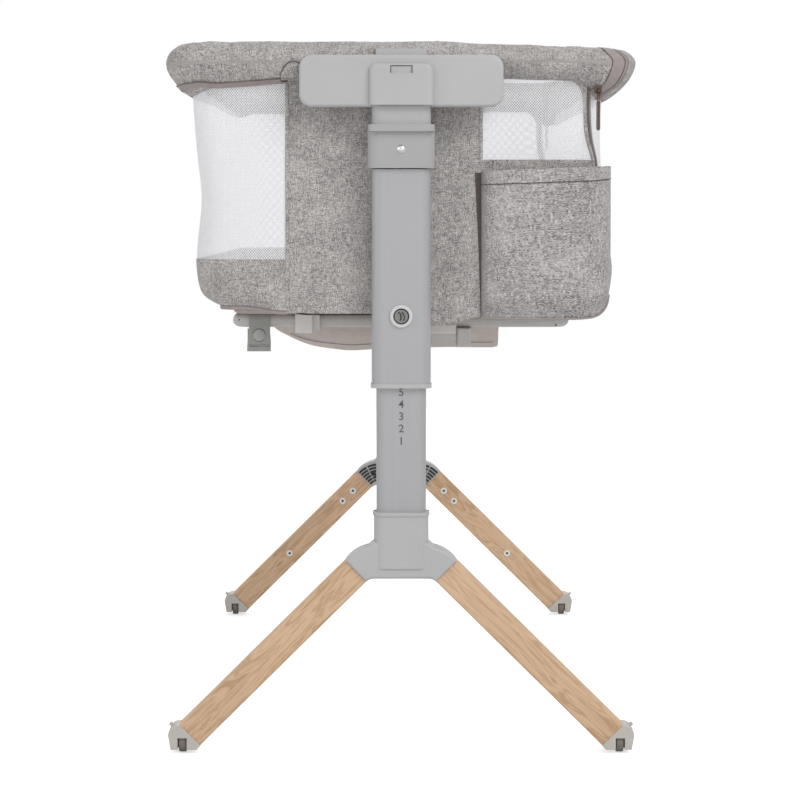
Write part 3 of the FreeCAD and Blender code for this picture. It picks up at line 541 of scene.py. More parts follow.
def moulded(name, colour, rough=0.42, grain=900.0, bump=0.05, mottling=0.025):
    """Satin moulded plastic: very fine spark-eroded grain and a slight unevenness in gloss."""
    s = Shader(name, colour, rough, specular=0.4)
    broad = s.noise(s.coords("Object", (9, 9, 9)), detail=3.0)
    s.tint(broad, colour, 1 - mottling, 1 + mottling)
    s.gloss(broad, rough, 0.16)
    s.bump(s.noise(s.coords("Object", (grain, grain, grain))), bump, 0.0002)
    return s.mat


def painted(name, colour, rough, metallic=0.0):
    """Satin coat on drawn tube: faint streaks along the tube and a very fine orange peel."""
    streak = 0.02
    s = Shader(name, colour, rough, metallic, 0.45)
    drawn = s.noise(s.coords("Object", (260, 260, 5)), detail=3.0)
    peel = s.noise(s.coords("Object", (700, 700, 700)), detail=1.0)
    s.tint(drawn, colour, 1 - streak, 1 + streak)
    s.gloss(drawn, rough, 0.12)
    s.bump(s.math("MULTIPLY_ADD", drawn, 0.6, peel), 0.04, 0.0002)
    return s.mat


def wood(name, colour, angle):
    """Light oak whose grain runs down each splayed leg."""
    s = Shader(name, colour, 0.5, specular=0.35)
    place = s.split("Object")
    x, y, z = s.math("ABSOLUTE", place["X"]), place["Y"], place["Z"]
    c, k = math.cos(angle), math.sin(angle)
    down = s.math("SUBTRACT", s.math("MULTIPLY", x, c), s.math("MULTIPLY", z, k))
    wide = s.math("ADD", s.math("MULTIPLY", x, k), s.math("MULTIPLY", z, c))
    side = s.math("SIGN", place["X"])

    def stretched(a, b, offset):
        return s.vector(s.math("MULTIPLY", down, a),
                        s.math("MULTIPLY_ADD", side, offset, s.math("MULTIPLY", wide, b)),
                        s.math("MULTIPLY", y, b))

    flow = s.noise(stretched(7, 70, 3.7), detail=4.0, distortion=0.9)
    pores = s.noise(stretched(38, 900, 11.3))
    cathedral = s.math("SINE", s.math("MULTIPLY", flow, 46.0))
    value = s.math("MULTIPLY_ADD", pores, 0.35, s.math("MULTIPLY", flow, 0.55))
    value = s.math("MULTIPLY_ADD", cathedral, 0.16, value)
    dark = (colour[0] * 0.80, colour[1] * 0.74, colour[2] * 0.66, 1)
    s.colours(value, [(0.24, dark), (0.45, colour), (0.68, shade(colour, 1.12))])
    s.bump(s.math("MULTIPLY_ADD", pores, 0.7, s.math("MULTIPLY", flow, 0.4)), 0.12, 0.0004)
    return s.mat


def metal(name, colour, rough):
    """Zinc or nickel with fine scratches."""
    s = Shader(name, colour, rough, 1.0)
    scratch = s.noise(s.coords("Object", (400, 400, 400)), detail=3.0)
    s.gloss(scratch, rough, 0.2)
    s.tint(scratch, colour, 0.92, 1.05)
    s.bump(scratch, 0.05, 0.0002)
    return s.mat


def pebbled(name, colour, rough, scale=900, bump=0.4):
    """Leather and rubber: a fine cellular grain."""
    s = Shader(name, colour, rough, specular=0.35)
    cell = s.cells(s.coords("Object", (scale, scale, scale)))
    s.tint(s.noise(s.coords("Object", (60, 60, 60)), detail=3.0), colour, 0.85, 1.15)
    s.bump(cell.outputs["Distance"], bump, 0.0003)
    return s.mat


m_melange = woven("melange", linear(170, 166, 164), 0.56)
m_pocket = woven("melange_pocket", linear(167, 163, 163), 0.56)
m_net = net("mesh_net", linear(238, 238, 242))
m_taupe = ribbed("taupe_cloth", linear(176, 167, 162), 0.0012, 0.06, 0.2)
# The sling and its ends are the under cloth's taupe painted lighter: painted light standing in for the light
# the floor bounces up under the base.
m_sling_painted_light = ribbed("sling_cloth", linear(214, 205, 199), 0.0012, 0.05, 0.15)
m_tape = ribbed("zip_tape", linear(160, 150, 147), 0.0010, 0.08)
m_seam = ribbed("seam_shadow", linear(124, 114, 111), 0.0016, 0.1)
m_thread = ribbed("dark_thread", linear(92, 84, 82), 0.0016, 0.1)
m_webbing = ribbed("webbing", linear(160, 161, 158), 0.0012, 0.06, 0.25)
m_stud = moulded("stud_grey", linear(172, 172, 169), 0.45)
m_bezel = moulded("bezel_grey", linear(204, 203, 204), 0.36)
m_washer = moulded("washer_white", linear(226, 224, 220), 0.5)
m_base_tube = painted("base_tube_coat", linear(186, 184, 182), 0.36)
m_block = moulded("latch_grey", linear(222, 219, 216), 0.45)
m_mattress = woven("mattress_knit", linear(228, 226, 223), 0.07, 0.0016, bump=0.3)
m_piping = woven("mattress_piping", linear(206, 203, 199), 0.10, 0.0010)
m_plastic = moulded("moulded_grey", linear(182, 181, 182))
# The lock collar is the moulded grey painted darker: painted shade cast by the bracket above it.
m_collar_painted_shade = moulded("collar_grey_painted_shade", linear(168, 167, 168))
m_clip = moulded("clip_grey", linear(206, 203, 200), 0.5)
m_button = moulded("button_grey", linear(136, 136, 134), 0.42)
m_foot = moulded("foot_grey", linear(190, 185, 179), 0.48)
m_dark = moulded("dark_plastic", linear(46, 46, 47), 0.55)
m_column = painted("column_coat", linear(168, 168, 170), 0.38, 0.15)
m_tube = painted("tube_coat", linear(186, 181, 176), 0.42)
m_oak = wood("oak", linear(206, 174, 143), math.radians(LEG_TILT))
m_board = moulded("fibreboard", linear(166, 142, 118), 0.8, 400.0, 0.3, mottling=0.08)
m_steel = metal("zinc_steel", linear(205, 205, 207), 0.28)
m_zip = metal("zip_metal", linear(86, 74, 66), 0.34)
m_leather = pebbled("dark_leather", linear(88, 72, 69), 0.55)
m_rubber = pebbled("wheel_rubber", linear(122, 117, 110), 0.7, 500, 0.2)
m_ink = moulded("scale_ink", linear(96, 96, 98), 0.6)


def dress(node, material):
    """The material of a node that is carried over from the CAD."""
    materials = nodes[node].data.materials
    materials.clear()
    materials.append(material)


for name, material in {
        "rim_tube": m_tube, "drop_rail_tube": m_tube, "base_frame": m_base_tube, "base_board": m_board,
        "base_clips": m_clip, "latch_lever": m_clip, "bracket_fasteners": m_steel,
        "zip_sliders": m_zip}.items():
    dress(name, material)
for end, _ in ENDS:
    for part, material in {
            "bracket": m_plastic, "stub": m_plastic, "lock_collar": m_collar_painted_shade, "button_bezel": m_bezel,
            "column_bush": m_plastic, "leg_hub": m_plastic, "hinge_insert": m_dark, "button": m_button,
            "column_tube": m_column, "inner_tube": m_column, "wood_legs": m_oak, "foot_caps": m_foot,
            "collar_screw": m_steel, "leg_screws": m_steel, "wheel_axles": m_steel, "zip_pull": m_leather,
            "left_wheel": m_rubber, "right_wheel": m_rubber, "left_brake": m_foot,
            "right_brake": m_foot}.items():
        dress(end + "_" + part, material)


# ------------------------------------------------------------------ padded rim
def rim_section(angle, top, depth, shift):
    """Outward and upward offsets of the padding from the middle of the rail: round above, and below
    it slants in to the seam where the wall is sewn on."""
    c, s = math.cos(angle), math.sin(angle)
    reach = 0.0222 if c > 0 else 0.0205
    if s >= 0:
        power = 1.9
        scale = (abs(c) ** power + s ** power) ** (-1 / power)
        return c * scale * reach, s * scale * top
    power = 1.5 if c > 0 else 1.8
    scale = (abs(c) ** power + (-s) ** power) ** (-1 / power)
    share = -s * scale
    if c < 0:
        depth = lerp(depth, min(depth, 0.0255), smooth(-c * 5))
    return c * scale * reach + shift * share * share, -share * depth


RIGHT_TOP = ((0.05, 0.0235), (0.10, 0.0206), (0.14, 0.0195), (0.19, 0.0178), (0.235, 0.0165))


def rim_shape(spot, n):
    """Height above, depth below and inward shift of the seam, at one place along the rim."""
    side = smooth(abs(n.x) * 1.5)
    along = smooth((abs(spot.x) - 0.10) / 0.13)
    if spot.x > 0:
        top = lerp(table_value(RIGHT_TOP, spot.x), 0.0235, smooth((spot.y + 0.25) / 0.4))
        return top, lerp(lerp(0.0215, 0.0240, along), 0.0455, side), lerp(-0.0025, -0.0165, side)
    nearness = smooth((0.1 - spot.y) / 0.4)
    hang = lerp(0.0255, lerp(0.0262, 0.0325, nearness), along)
    side = smooth((abs(n.x) - 0.3) / 0.6)
    return 0.0235, lerp(hang, lerp(0.033, 0.0398, nearness), side), lerp(-0.0025, -0.0075, side)


def rim_point(p, angle, lift=0.0):
    """A point of the padding at p along the rim and at angle round its section, slightly wrinkled."""
    spot, n = ring(p, RIM_X, RIM_Y, RIM_R)
    corner = min(abs(n.x), abs(n.y)) * 1.4
    out, up = rim_section(angle, *rim_shape(spot, n))
    scale = 1 + lift / 0.024
    wrinkle = 0.0007 * noise.noise(Vector((spot.x * 22, spot.y * 22, angle * 1.3)))
    wrinkle += 0.0011 * corner * noise.noise(Vector((p * 60, math.cos(angle) * 2, math.sin(angle) * 2)))
    out, up = out * scale, up * scale
    away = Vector((n.x * out, n.y * out, up)).normalized()
    base = Vector((spot.x + n.x * out, spot.y + n.y * out, RIM_TOP - RIM_H / 2 + up))
    return base + away * (wrinkle - 0.0004)


RIM_SIDES = 40
RIM_ARC = math.pi * RIM_R / 2
RIM_CORNER = RIM_LEN - (RIM_X - RIM_R) - RIM_ARC
# Each row is an angle round the section and the angle round the corner at which the cover is cut.
CUT_TURN = ((-180, 47), (-125, 42), (-95, 30), (-70, 38), (-40, 49), (0, 50), (45, 44.5), (90, 46), (180, 47))


def rim_zip_p(angle, offset, far=False):
    """Where the zip that lets the side down crosses the rim, moved by offset towards the side."""
    turn = (math.degrees(angle) + 180) % 360 - 180
    theta = table_value(CUT_TURN, turn)
    near = RIM_CORNER + RIM_ARC * (90 - theta) / 90 - offset * 0.75
    return near if not far else RIM_LEN / 2 + (RIM_LEN - near)


def rim_piece(name, start, end, count, material, body, lift=0.0, angles=None):
    """A length of padding between start(angle) and end(angle), measured along the rim. With its own
    angles it is an open band, and otherwise it is closed at both ends."""
    turn = angles or circle(RIM_SIDES)
    bounds = [(start(a), end(a)) for a in turn]
    verts, uvs = [], []
    for i in range(count + 1):
        for (first, last), a in zip(bounds, turn):
            p = lerp(first, last, i / count)
            verts.append(rim_point(p, a, lift))
            uvs.append((p, a * 0.023))
    faces = grid_faces(count + 1, len(turn)) if angles else tube_faces(count + 1, len(turn))
    return make(name, verts, faces, uvs, material, body)


def inflate(obj, pressure, frames, cap, pinned, slack=0.0):
    """Swell a sewn piece with a short cloth simulation; its seams stay where they are."""
    mesh = obj.data
    start = [v.co.copy() for v in mesh.vertices]
    group = obj.vertex_groups.new(name="sewn")
    group.add(pinned, 1.0, "REPLACE")
    cloth = obj.modifiers.new("cloth", "CLOTH")
    set_up = cloth.settings
    set_up.quality = 4
    set_up.mass = 0.25
    set_up.tension_stiffness = 18
    set_up.compression_stiffness = 12
    set_up.shear_stiffness = 6
    set_up.bending_stiffness = 0.25
    set_up.use_pressure = True
    set_up.uniform_pressure_force = pressure
    set_up.vertex_group_mass = "sewn"
    set_up.shrink_min = -slack
    set_up.effector_weights.gravity = 0.0
    cloth.collision_settings.use_collision = False
    cloth.point_cache.frame_start = 1
    cloth.point_cache.frame_end = frames
    stage_scene = bpy.context.scene
    for number in range(1, frames + 1):
        stage_scene.frame_set(number)
    swollen = obj.evaluated_get(bpy.context.evaluated_depsgraph_get()).data
    moved = [v.co.copy() for v in swollen.vertices]
    obj.modifiers.remove(cloth)
    obj.vertex_groups.remove(group)
    for vertex, old_place, new_place in zip(mesh.vertices, start, moved):
        shift = new_place - old_place
        if shift.length > cap:
            shift *= cap / shift.length
        vertex.co = old_place + shift
    stage_scene.frame_set(1)


def sewn_rim(obj, count, length, hold_left):
    """The vertices of a rim cover that stay put: its ends, its lower seam and what has tape on it."""
    held = []
    for i in range(count + 1):
        for k, a in enumerate(circle(RIM_SIDES)):
            index = i * RIM_SIDES + k
            x, y, _ = obj.data.vertices[index].co
            near_end = min(i, count - i) * length / count < 0.032
            low = math.sin(a) < -0.55
            tab_zone = abs(abs(x) - 0.10) < 0.048 and abs(y) > 0.40
            bracket = abs(x) < 0.128 and abs(y) > 0.42
            join = hold_left and -0.25 < x < -0.236 and y < -0.40
            if near_end or low or tab_zone or bracket or join:
                held.append(index)
    return held


def rim_cover(name, start, end, count, length, body, node, hold_left):
    """One padded cover on the rim, swelled a little between its seams."""
    cover = rim_piece(name, start, end, count, m_melange, body)
    inflate(cover, 2.5, 12, 0.0016, sewn_rim(cover, count, length, hold_left), 0.01)
    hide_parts(node)


seam = 0.0012
rim_cover("rim_cover", lambda a: rim_zip_p(a, -seam) - RIM_LEN, lambda a: rim_zip_p(a, -seam, True),
          340, 1.75, "crib", "rim_padding", True)
rim_cover("drop_rail_cover", lambda a: rim_zip_p(a, seam, True), lambda a: rim_zip_p(a, seam),
          190, 0.95, "drop_side", "drop_rail_padding", False)

ALL_ROUND = circle(48) + [2 * math.pi]
for end, side in ENDS:
    for part, inner, outer, body, lift, material, slot in (
            ("rim_tape_fixed", -0.0200, -0.0010, "crib", 0.0010, m_tape, "taupe_cloth"),
            ("rim_tape_drop", 0.0010, 0.0100, "drop_side", 0.0010, m_tape, "taupe_cloth"),
            ("rim_zip_teeth", -0.0012, 0.0006, "crib", 0.0013, m_thread, "zip_metal"),
            ("rim_stitch_fixed", -0.0207, -0.0199, "crib", 0.0013, m_thread, "taupe_cloth"),
            ("rim_stitch_drop", 0.0052, 0.0060, "drop_side", 0.0013, m_thread, "taupe_cloth")):
        rim_piece(end + "_" + part, lambda a: rim_zip_p(a, inner, side > 0),
                  lambda a: rim_zip_p(a, outer, side > 0), 6, material, body, lift, ALL_ROUND)


def rim_angle(share):
    """The angle below the outside at which the section has gone down share of its depth."""
    def too_deep(angle):
        c, s = math.cos(angle), -math.sin(angle)
        return s * (c ** 1.5 + s ** 1.5) ** (-1 / 1.5) > share
    return halved(-math.pi / 2, 0.0, too_deep)


def on_rim(x, z, lift=0.001):
    """The point of the near end's outer face at x and z."""
    angle = halved(-math.pi / 2, math.pi / 2, lambda a: rim_point(-x % RIM_LEN, a, lift).z < z)
    return Vector((x, rim_point(-x % RIM_LEN, angle, lift).y, z))


def left_strip(name, width, skip, material, lift, rows):
    """A band on the left of the rim, width below the lower edge of the cover, measured downwards."""
    verts, uvs = [], []
    count, from_middle = 190, 0.143
    for i in range(count + 1):
        p = lerp(from_middle, RIM_LEN / 2 - from_middle, i / count)
        spot, n = ring(p, RIM_X, RIM_Y, RIM_R)
        depth = rim_shape(spot, n)[1]
        first = 1 - (0.0066 + 0.0070 * smooth((abs(n.x) - 0.2) / 0.6) - skip) / depth
        last = min(first + width / depth, 0.999)
        for k in range(rows + 1):
            share = lerp(first, last, k / rows)
            verts.append(rim_point(p, rim_angle(share), lift))
            uvs.append((p, share * depth))
    return make(name, verts, grid_faces(count + 1, rows + 1), uvs, material, "crib")


left_strip("left_zip_tape", 0.0058, 0.0, m_tape, 0.0010, 4)
left_strip("left_zip_seam", 0.0009, -0.0003, m_seam, 0.0014, 1)

# the end panels' cloth is carried up over the rail beside each bracket, with a curled edge
LOOP = ((-0.1425, 0.8000), (-0.1418, 0.8075), (-0.1392, 0.8130), (-0.1345, 0.8185), (-0.1290, 0.8212),
        (-0.1235, 0.8205), (-0.1190, 0.8180))
TAB_LOW = 0.7990


def tab(end, mirror):
    """The loop of panel cloth over the rim, and the thread along its edge."""
    rows, cols = 10, 14
    verts, uvs = [], []
    for i in range(rows + 1):
        for j in range(cols + 1):
            x, top = catmull(LOOP, j / cols)
            z = lerp(TAB_LOW, top, i / rows)
            lift = 0.0012 + 0.0022 * math.sin(math.pi * min(i / rows, 0.97)) ** 0.7
            verts.append(Vector((x * mirror, on_rim(x, z, lift).y * mirror, z)))
            uvs.append((x, z))
    make(end + "_panel_tab", verts, grid_faces(rows + 1, cols + 1), uvs, m_melange, "crib")
    edge = [on_rim(*catmull(LOOP, j / 30), 0.0016) for j in range(31)]
    tube_along(end + "_panel_tab_seam", [Vector((q.x * mirror, q.y * mirror, q.z)) for q in edge], 0.00065,
               m_thread, "crib", 6)


tab("near", 1)
tab("far", -1)
COVER_JOIN = ((-0.2458, 0.8160), (-0.2440, 0.8120), (-0.2425, 0.8075), (-0.2405, 0.8035))
tube_along("rim_cover_join", [on_rim(*catmull(COVER_JOIN, t), 0.0002) for t in steps(0, 1, 12)], 0.0006,
           m_thread, "crib", 6)


def block(name, size, middle, radius, segments, material, body, profile=0.0, smooth_faces=True):
    """A moulded block with its edges rounded."""
    form = bmesh.new()
    bmesh.ops.create_cube(form, size=1.0)
    bmesh.ops.scale(form, vec=size, verts=form.verts)
    bmesh.ops.translate(form, vec=middle, verts=form.verts)
    bmesh.ops.bevel(form, geom=list(form.edges), offset=radius, segments=segments, profile=profile,
                    affect="EDGES")
    mesh = bpy.data.meshes.new(name)
    form.to_mesh(mesh)
    form.free()
    mesh.materials.append(material)
    mesh.polygons.foreach_set("use_smooth", [smooth_faces] * len(mesh.polygons))
    return piece_of(name, mesh, body)


block("near_left_zip_stop", (0.0085, 0.003, 0.0042), on_rim(-0.1385, 0.7992, 0.0012), 0.0009, 2, m_thread,
      "crib", smooth_faces=False)

# ------------------------------------------------------------------ walls
PANEL_BASE = 0.5195
BAND_BASE, BAND_BEND = 0.5275, 0.545
DROP_BASE, DROP_BAND, DROP_LENGTH = 0.5345, 0.602, 0.93
TINY = 1e-6


def folds(obj):
    """The soft walls crumple up under the rim when the base is lifted to fold the crib; here each piece only
    gets its own copy of its mesh.
    """
    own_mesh(obj)
    return obj


def band_low(p):
    """The lower edge of the melange band is a little higher round the left side."""
    return lerp(0.5262, 0.5316, smooth((PANEL_X - 0.006 - ring(p, BODY_X, BODY_Y, BODY_R)[0].x) / 0.05))


def band_point(u, v):
    return wall_point(u, lerp(band_low(u), BAND_Z, (v - BAND_BASE) / (BAND_Z - BAND_BASE)), 0.0008)


p_left = steps(face_p(PANEL_X), face_p(PANEL_X, True), 150)
left_net = surface("left_net", wall_point, p_left, steps(BAND_Z, WALL_TOP, 22), m_net, "crib")
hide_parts("left_mesh")
left_band = surface("left_band_cloth", band_point, p_left,
                    steps(BAND_BASE, BAND_BEND, 16)[:-1] + steps(BAND_BEND, BAND_Z, 12), m_melange, "crib")
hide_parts("left_band")

# Each row is a place x on the end panel and the height of its lower edge there.
PANEL_LOW = ((-0.136, 0.5235), (-0.10, 0.5222), (0.0, 0.5212), (0.022, 0.5150), (0.040, 0.5090),
             (0.056, 0.5090), (0.072, 0.5135), (0.095, 0.5185), (0.16, 0.5180), (0.237, 0.5200))


def panel_point(u, v, far, push=0.0):
    """u is x on the face from the left, carried round the right corner; v is the height."""
    turn = 0.02
    flat_end = WINDOW_X1 - turn
    if u <= flat_end:
        return wall_point(face_p(u, far), v, push)
    start, edge = face_p(flat_end, far), zip_p(v, far)
    window = corner_p(curve_value(WINDOW_EDGE, v), far) if v >= WINDOW_Z - TINY else lerp(start, edge, 0.5)
    if u <= WINDOW_X1:
        p = lerp(start, window, (u - flat_end) / turn)
    else:
        p = lerp(window, edge, (u - WINDOW_X1) / (PANEL_EDGE - WINDOW_X1))
    return wall_point(p, v, push)


def panel_cloth_point(u, v, far):
    if v < WINDOW_Z - TINY:
        v = lerp(curve_value(PANEL_LOW, u), WINDOW_Z, (v - PANEL_BASE) / (WINDOW_Z - PANEL_BASE))
    return panel_point(u, v, far, 0.0006)


window_us = steps(WINDOW_X0, WINDOW_X1, 18)
window_vs = steps(WINDOW_Z, WINDOW_TURN, 12)[:-1] + steps(WINDOW_TURN, WALL_TOP, 12)
panel_us = steps(PANEL_X, WINDOW_X0, 34)[:-1] + window_us[:-1] + steps(WINDOW_X1, PANEL_EDGE, 5)
panel_vs = steps(PANEL_BASE, WINDOW_Z, 26)[:-1] + window_vs


def in_window(i, j):
    return panel_vs[i] >= WINDOW_Z - TINY and WINDOW_X0 - TINY <= panel_us[j] < WINDOW_X1 - TINY


for end, side in ENDS:
    far = side > 0
    panel = surface(end + "_panel_cloth", lambda u, v: panel_cloth_point(u, v, far), panel_us, panel_vs,
                    m_melange, "crib", skip=in_window)
    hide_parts(end + "_end_panel")
    window = surface(end + "_window_net", lambda u, v: panel_point(u, v, far), window_us, window_vs, m_net,
                     "crib")
    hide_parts("right_window_meshes")
    folds(panel)
    folds(window)
    # seams where cloth meets net
    left_seam = [wall_point(face_p(PANEL_X, far), z, 0.0012) for z in steps(0.53, 0.799, 30)]
    window_seam = [panel_point(WINDOW_X0, z, far, 0.0012) for z in steps(0.707, 0.799, 14)]
    for part, line in (("_left_binding", left_seam), ("_window_binding_left", window_seam)):
        folds(strip_along(end + part, line, [Vector((0, side, 0))] * len(line), 0.0022, 0.0008, m_melange,
                          "crib"))

folds(left_net)
folds(left_band)
edge_spots, edge_out = [], []
for p in p_left:
    spot = wall_point(p, band_low(p), 0.0)
    n = ring(p, BODY_X, BODY_Y, BODY_R)[1]
    edge_spots.append(Vector((spot.x - n.x * 0.0015, spot.y - n.y * 0.0015, band_low(p) - 0.0022)))
    edge_out.append(Vector((n.x, n.y, 0)))
folds(strip_along("left_band_binding", edge_spots, edge_out, 0.0030, 0.0012, m_tape, "crib"))


def drop_point(u, v, push=0.0):
    """The side that drops, from the far zip line (u=0) to the near one (u=1)."""
    gap = 0.0016
    return wall_point(lerp(zip_p(v, True) + gap, zip_p(v) - gap, u), v, push)


def drop_uv(u, v):
    return (u * DROP_LENGTH, v)


drop_us = steps(0, 1, 130)
drop_net = surface("drop_net", drop_point, drop_us, steps(DROP_BAND, WALL_TOP, 20), m_net, "drop_side",
                   uv=drop_uv)
drop_band = surface("drop_band_cloth", lambda u, v: drop_point(u, v, 0.0008), drop_us,
                    steps(DROP_BASE, DROP_BAND, 8), m_melange, "drop_side", uv=drop_uv)
for piece in (drop_net, drop_band):
    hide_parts("drop_wall")
    folds(piece)

for end, side in ENDS:
    heights = steps(0.5365, 0.798, 40)
    far = side > 0
    # the distance from the zip line of each strip's middle and of the place where its normal is taken
    for part, shift, turned, push, half_width, thickness, material, body, slot in (
            ("zip_tape_fixed", 0.0040, 0.0040, 0.0014, 0.0024, 0.0008, m_melange, "crib", "melange_fabric"),
            ("zip_tape_drop", -0.0032, -0.0032, 0.0012, 0.0016, 0.0006, m_tape, "drop_side", "taupe_cloth"),
            ("zip_teeth", 0.0006, 0.0, 0.0014, 0.0012, 0.0012, m_seam, "crib", "zip_metal"),
            ("zip_edge_0", -0.0007, -0.0007, 0.0020, 0.0007, 0.0004, m_thread, "crib", "zip_metal"),
            ("zip_edge_1", 0.0020, 0.0020, 0.0020, 0.0007, 0.0004, m_thread, "crib", "zip_metal")):
        line = [wall_point(zip_p(z, far) - side * shift, z, push) for z in heights]
        normals = [ring(zip_p(z, far) - side * turned, BODY_X, BODY_Y, BODY_R)[1].to_3d() for z in heights]
        folds(strip_along(end + "_" + part, line, normals, half_width, thickness, material, body))

# ------------------------------------------------------------------ pocket
POCKET_PLAN = ((0.0955, -0.4180), (0.0975, -0.4250), (0.1040, -0.4305), (0.120, -0.4330), (0.150, -0.4342),
               (0.185, -0.4348), (0.220, -0.4345), (0.240, -0.4328), (0.2478, -0.4285), (0.2490, -0.4200),
               (0.2458, -0.4095), (0.2375, -0.4020))
POCKET_LOW = ((0.0955, 0.5172), (0.12, 0.5160), (0.20, 0.5155), (0.225, 0.5165), (0.236, 0.5195),
              (0.2435, 0.5262), (0.2475, 0.5345), (0.2495, 0.5440))
POCKET_WIDE, POCKET_TALL = 0.19, 0.178


def pocket_point(u, v, push=0.0):
    """The pocket's cloth: u runs round its plan from the left, v from its lower edge to its mouth."""
    x, y = catmull(POCKET_PLAN, u)
    low = curve_value(POCKET_LOW, x if u < 0.74 else 0.2490)
    top = lerp(0.6915, 0.6975, (x - 0.0955) / 0.153)
    z = lerp(low, top, v)
    full = smooth(v / 0.14) * 0.75 + 0.25
    back = -0.4182 if x < 0.2 else -0.4182 + 0.016 * smooth((x - 0.2) / 0.045)
    y = lerp(back, y, full)
    y -= 0.0018 * (math.sin(math.pi * v) * math.sin(math.pi * u)) + push
    y -= 0.0007 * noise.noise(Vector((x * 30, 3.1, z * 26)))
    y -= 0.0009 * math.sin((x - 0.10) * 95 + 3 * v) * max(0.0, v - 0.55) * (1 - v) * 6
    return Vector((x, y, z))


def pocket_uv(u, v):
    return (u * POCKET_WIDE, v * POCKET_TALL)


def pocket_shade_point(u, v):
    """A dark wedge of painted shade beside the pocket's left edge, where its side stands off the wall; wider
    at the top.
    """
    wide = 0.0014 + 0.0070 * max(0.0, (v - 0.525) / 0.165) ** 1.3
    return wall_point(face_p(lerp(0.0972, 0.0962 - wide, u)), v, 0.0012 + 0.0010 * (1 - u))


pocket = surface("pocket_cloth", pocket_point, steps(0, 1, 60), steps(0, 1, 40), m_pocket, "crib",
                 uv=pocket_uv)
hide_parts("near_pocket")
hem = surface("pocket_hem", lambda u, v: pocket_point(u, v, 0.0012), steps(0, 1, 60), steps(0.915, 1.004, 4),
              m_pocket, "crib", uv=pocket_uv)
hem_line = [pocket_point(u, 0.912, 0.0008) for u in steps(0.01, 0.99, 60)]
low_line = [pocket_point(u, 0.004, 0.0012) for u in steps(0.02, 0.90, 60)]
side_line = [pocket_point(0.012, v, 0.0010) for v in steps(0.01, 0.99, 40)]
stitch = tube_along("pocket_hem_stitch", hem_line, 0.0005, m_thread, "crib", 6)
binding = tube_along("pocket_binding", low_line, 0.0012, m_tape, "crib")
side_seam = tube_along("pocket_side_seam", side_line, 0.0006, m_seam, "crib", 6)
# A sheet in the dark thread colour: painted shade of the fold beside the pocket's left edge.
painted_shade_wedge = surface("pocket_painted_shade", pocket_shade_point, steps(0, 1, 4), steps(0.524, 0.6905, 30), m_thread, "crib")
for piece in (pocket, hem, stitch, binding, side_seam, painted_shade_wedge):
    folds(piece)

# ------------------------------------------------------------------ base: sleeve, cloth and sling
BOARD_X, BOARD_Y, BOARD_R = 0.2065, 0.3605, 0.027


def board_sleeve():
    """The taupe sleeve round the board: rings of points from the bottom's middle, round its rounded
    edge, to the top's middle."""
    count, middle = 120, 0.15
    core = BOARD_R * 0.9
    reach = min(BOARD_X, BOARD_Y)
    rows = [(middle, 0.5190)]
    for k in range(9):
        a = math.radians(-90 + 180 * k / 8)
        rows.append((0.0055 * (1 - math.cos(a)), 0.5246 + 0.0056 * math.sin(a)))
    rows.append((middle, 0.5302))
    verts, uvs = [], []
    for inset, z in rows:
        for i in range(count):
            spot, n = ring(ring_length(BOARD_X, BOARD_Y, BOARD_R) * i / count, BOARD_X, BOARD_Y, BOARD_R)
            depth = min(inset, core)
            shrink = 1 - (inset - depth) / (reach - core)
            x, y = (spot.x - n.x * depth) * shrink, (spot.y - n.y * depth) * shrink
            verts.append(Vector((x, y, z)))
            uvs.append((x, y))
    sleeve = make("board_sleeve", verts, tube_faces(len(rows), count, inward=True), uvs, m_taupe, "base")
    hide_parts("base_board")
    return sleeve


def under_point(u, v):
    """The cloth under the walls, from the walls' lower edge (v=0) in to the board (v=1)."""
    opening = (0.17, 0.33, 0.03)
    p = u * BODY_LEN
    spot = ring(p, BODY_X, BODY_Y, BODY_R)[0]
    low = 0.5362 if spot.x > 0.237 else lerp(0.5205, 0.5282, smooth((PANEL_X + 0.02 - spot.x) / 0.03))
    edge = wall_point(p, low, -0.0016)
    inner = ring(u * ring_length(*opening), *opening)[0]
    return Vector((lerp(edge.x, inner.x, v), lerp(edge.y, inner.y, v), lerp(low, 0.5262, smooth(v * 1.6))))


SLING_X0, SLING_X1, SLING_Y, SLING_TOP = -0.171, 0.1262, 0.232, 0.5074
# Each row is a place x and the height of the sling's underside there.
SLING_LOW = ((-0.171, 0.5070), (-0.165, 0.4990), (-0.154, 0.4899), (-0.1175, 0.4732), (-0.0811, 0.4663),
             (-0.0626, 0.4650), (-0.0363, 0.4668), (0.0, 0.4688), (0.06, 0.4694), (0.110, 0.4692),
             (0.1225, 0.4704), (0.1252, 0.4760), (0.1262, 0.5070))


def sling_point(u, v):
    """The soft pouch under the base, deepest on the left."""
    across = 1 - abs(v / SLING_Y) ** 14 * 0.03
    ripple = 0.0006 * noise.noise(Vector((u * 18, v * 9, 5)))
    return Vector((u, v, SLING_TOP - (SLING_TOP - curve_value(SLING_LOW, u)) * across + ripple))


def sling_end_point(u, v, side):
    t = (u - SLING_X0) / (SLING_X1 - SLING_X0)
    bulge = 0.003 * math.sin(math.pi * v) * math.sin(math.pi * t)
    return Vector((u, side * (SLING_Y + bulge), lerp(sling_point(u, side * SLING_Y).z, 0.5078, v)))


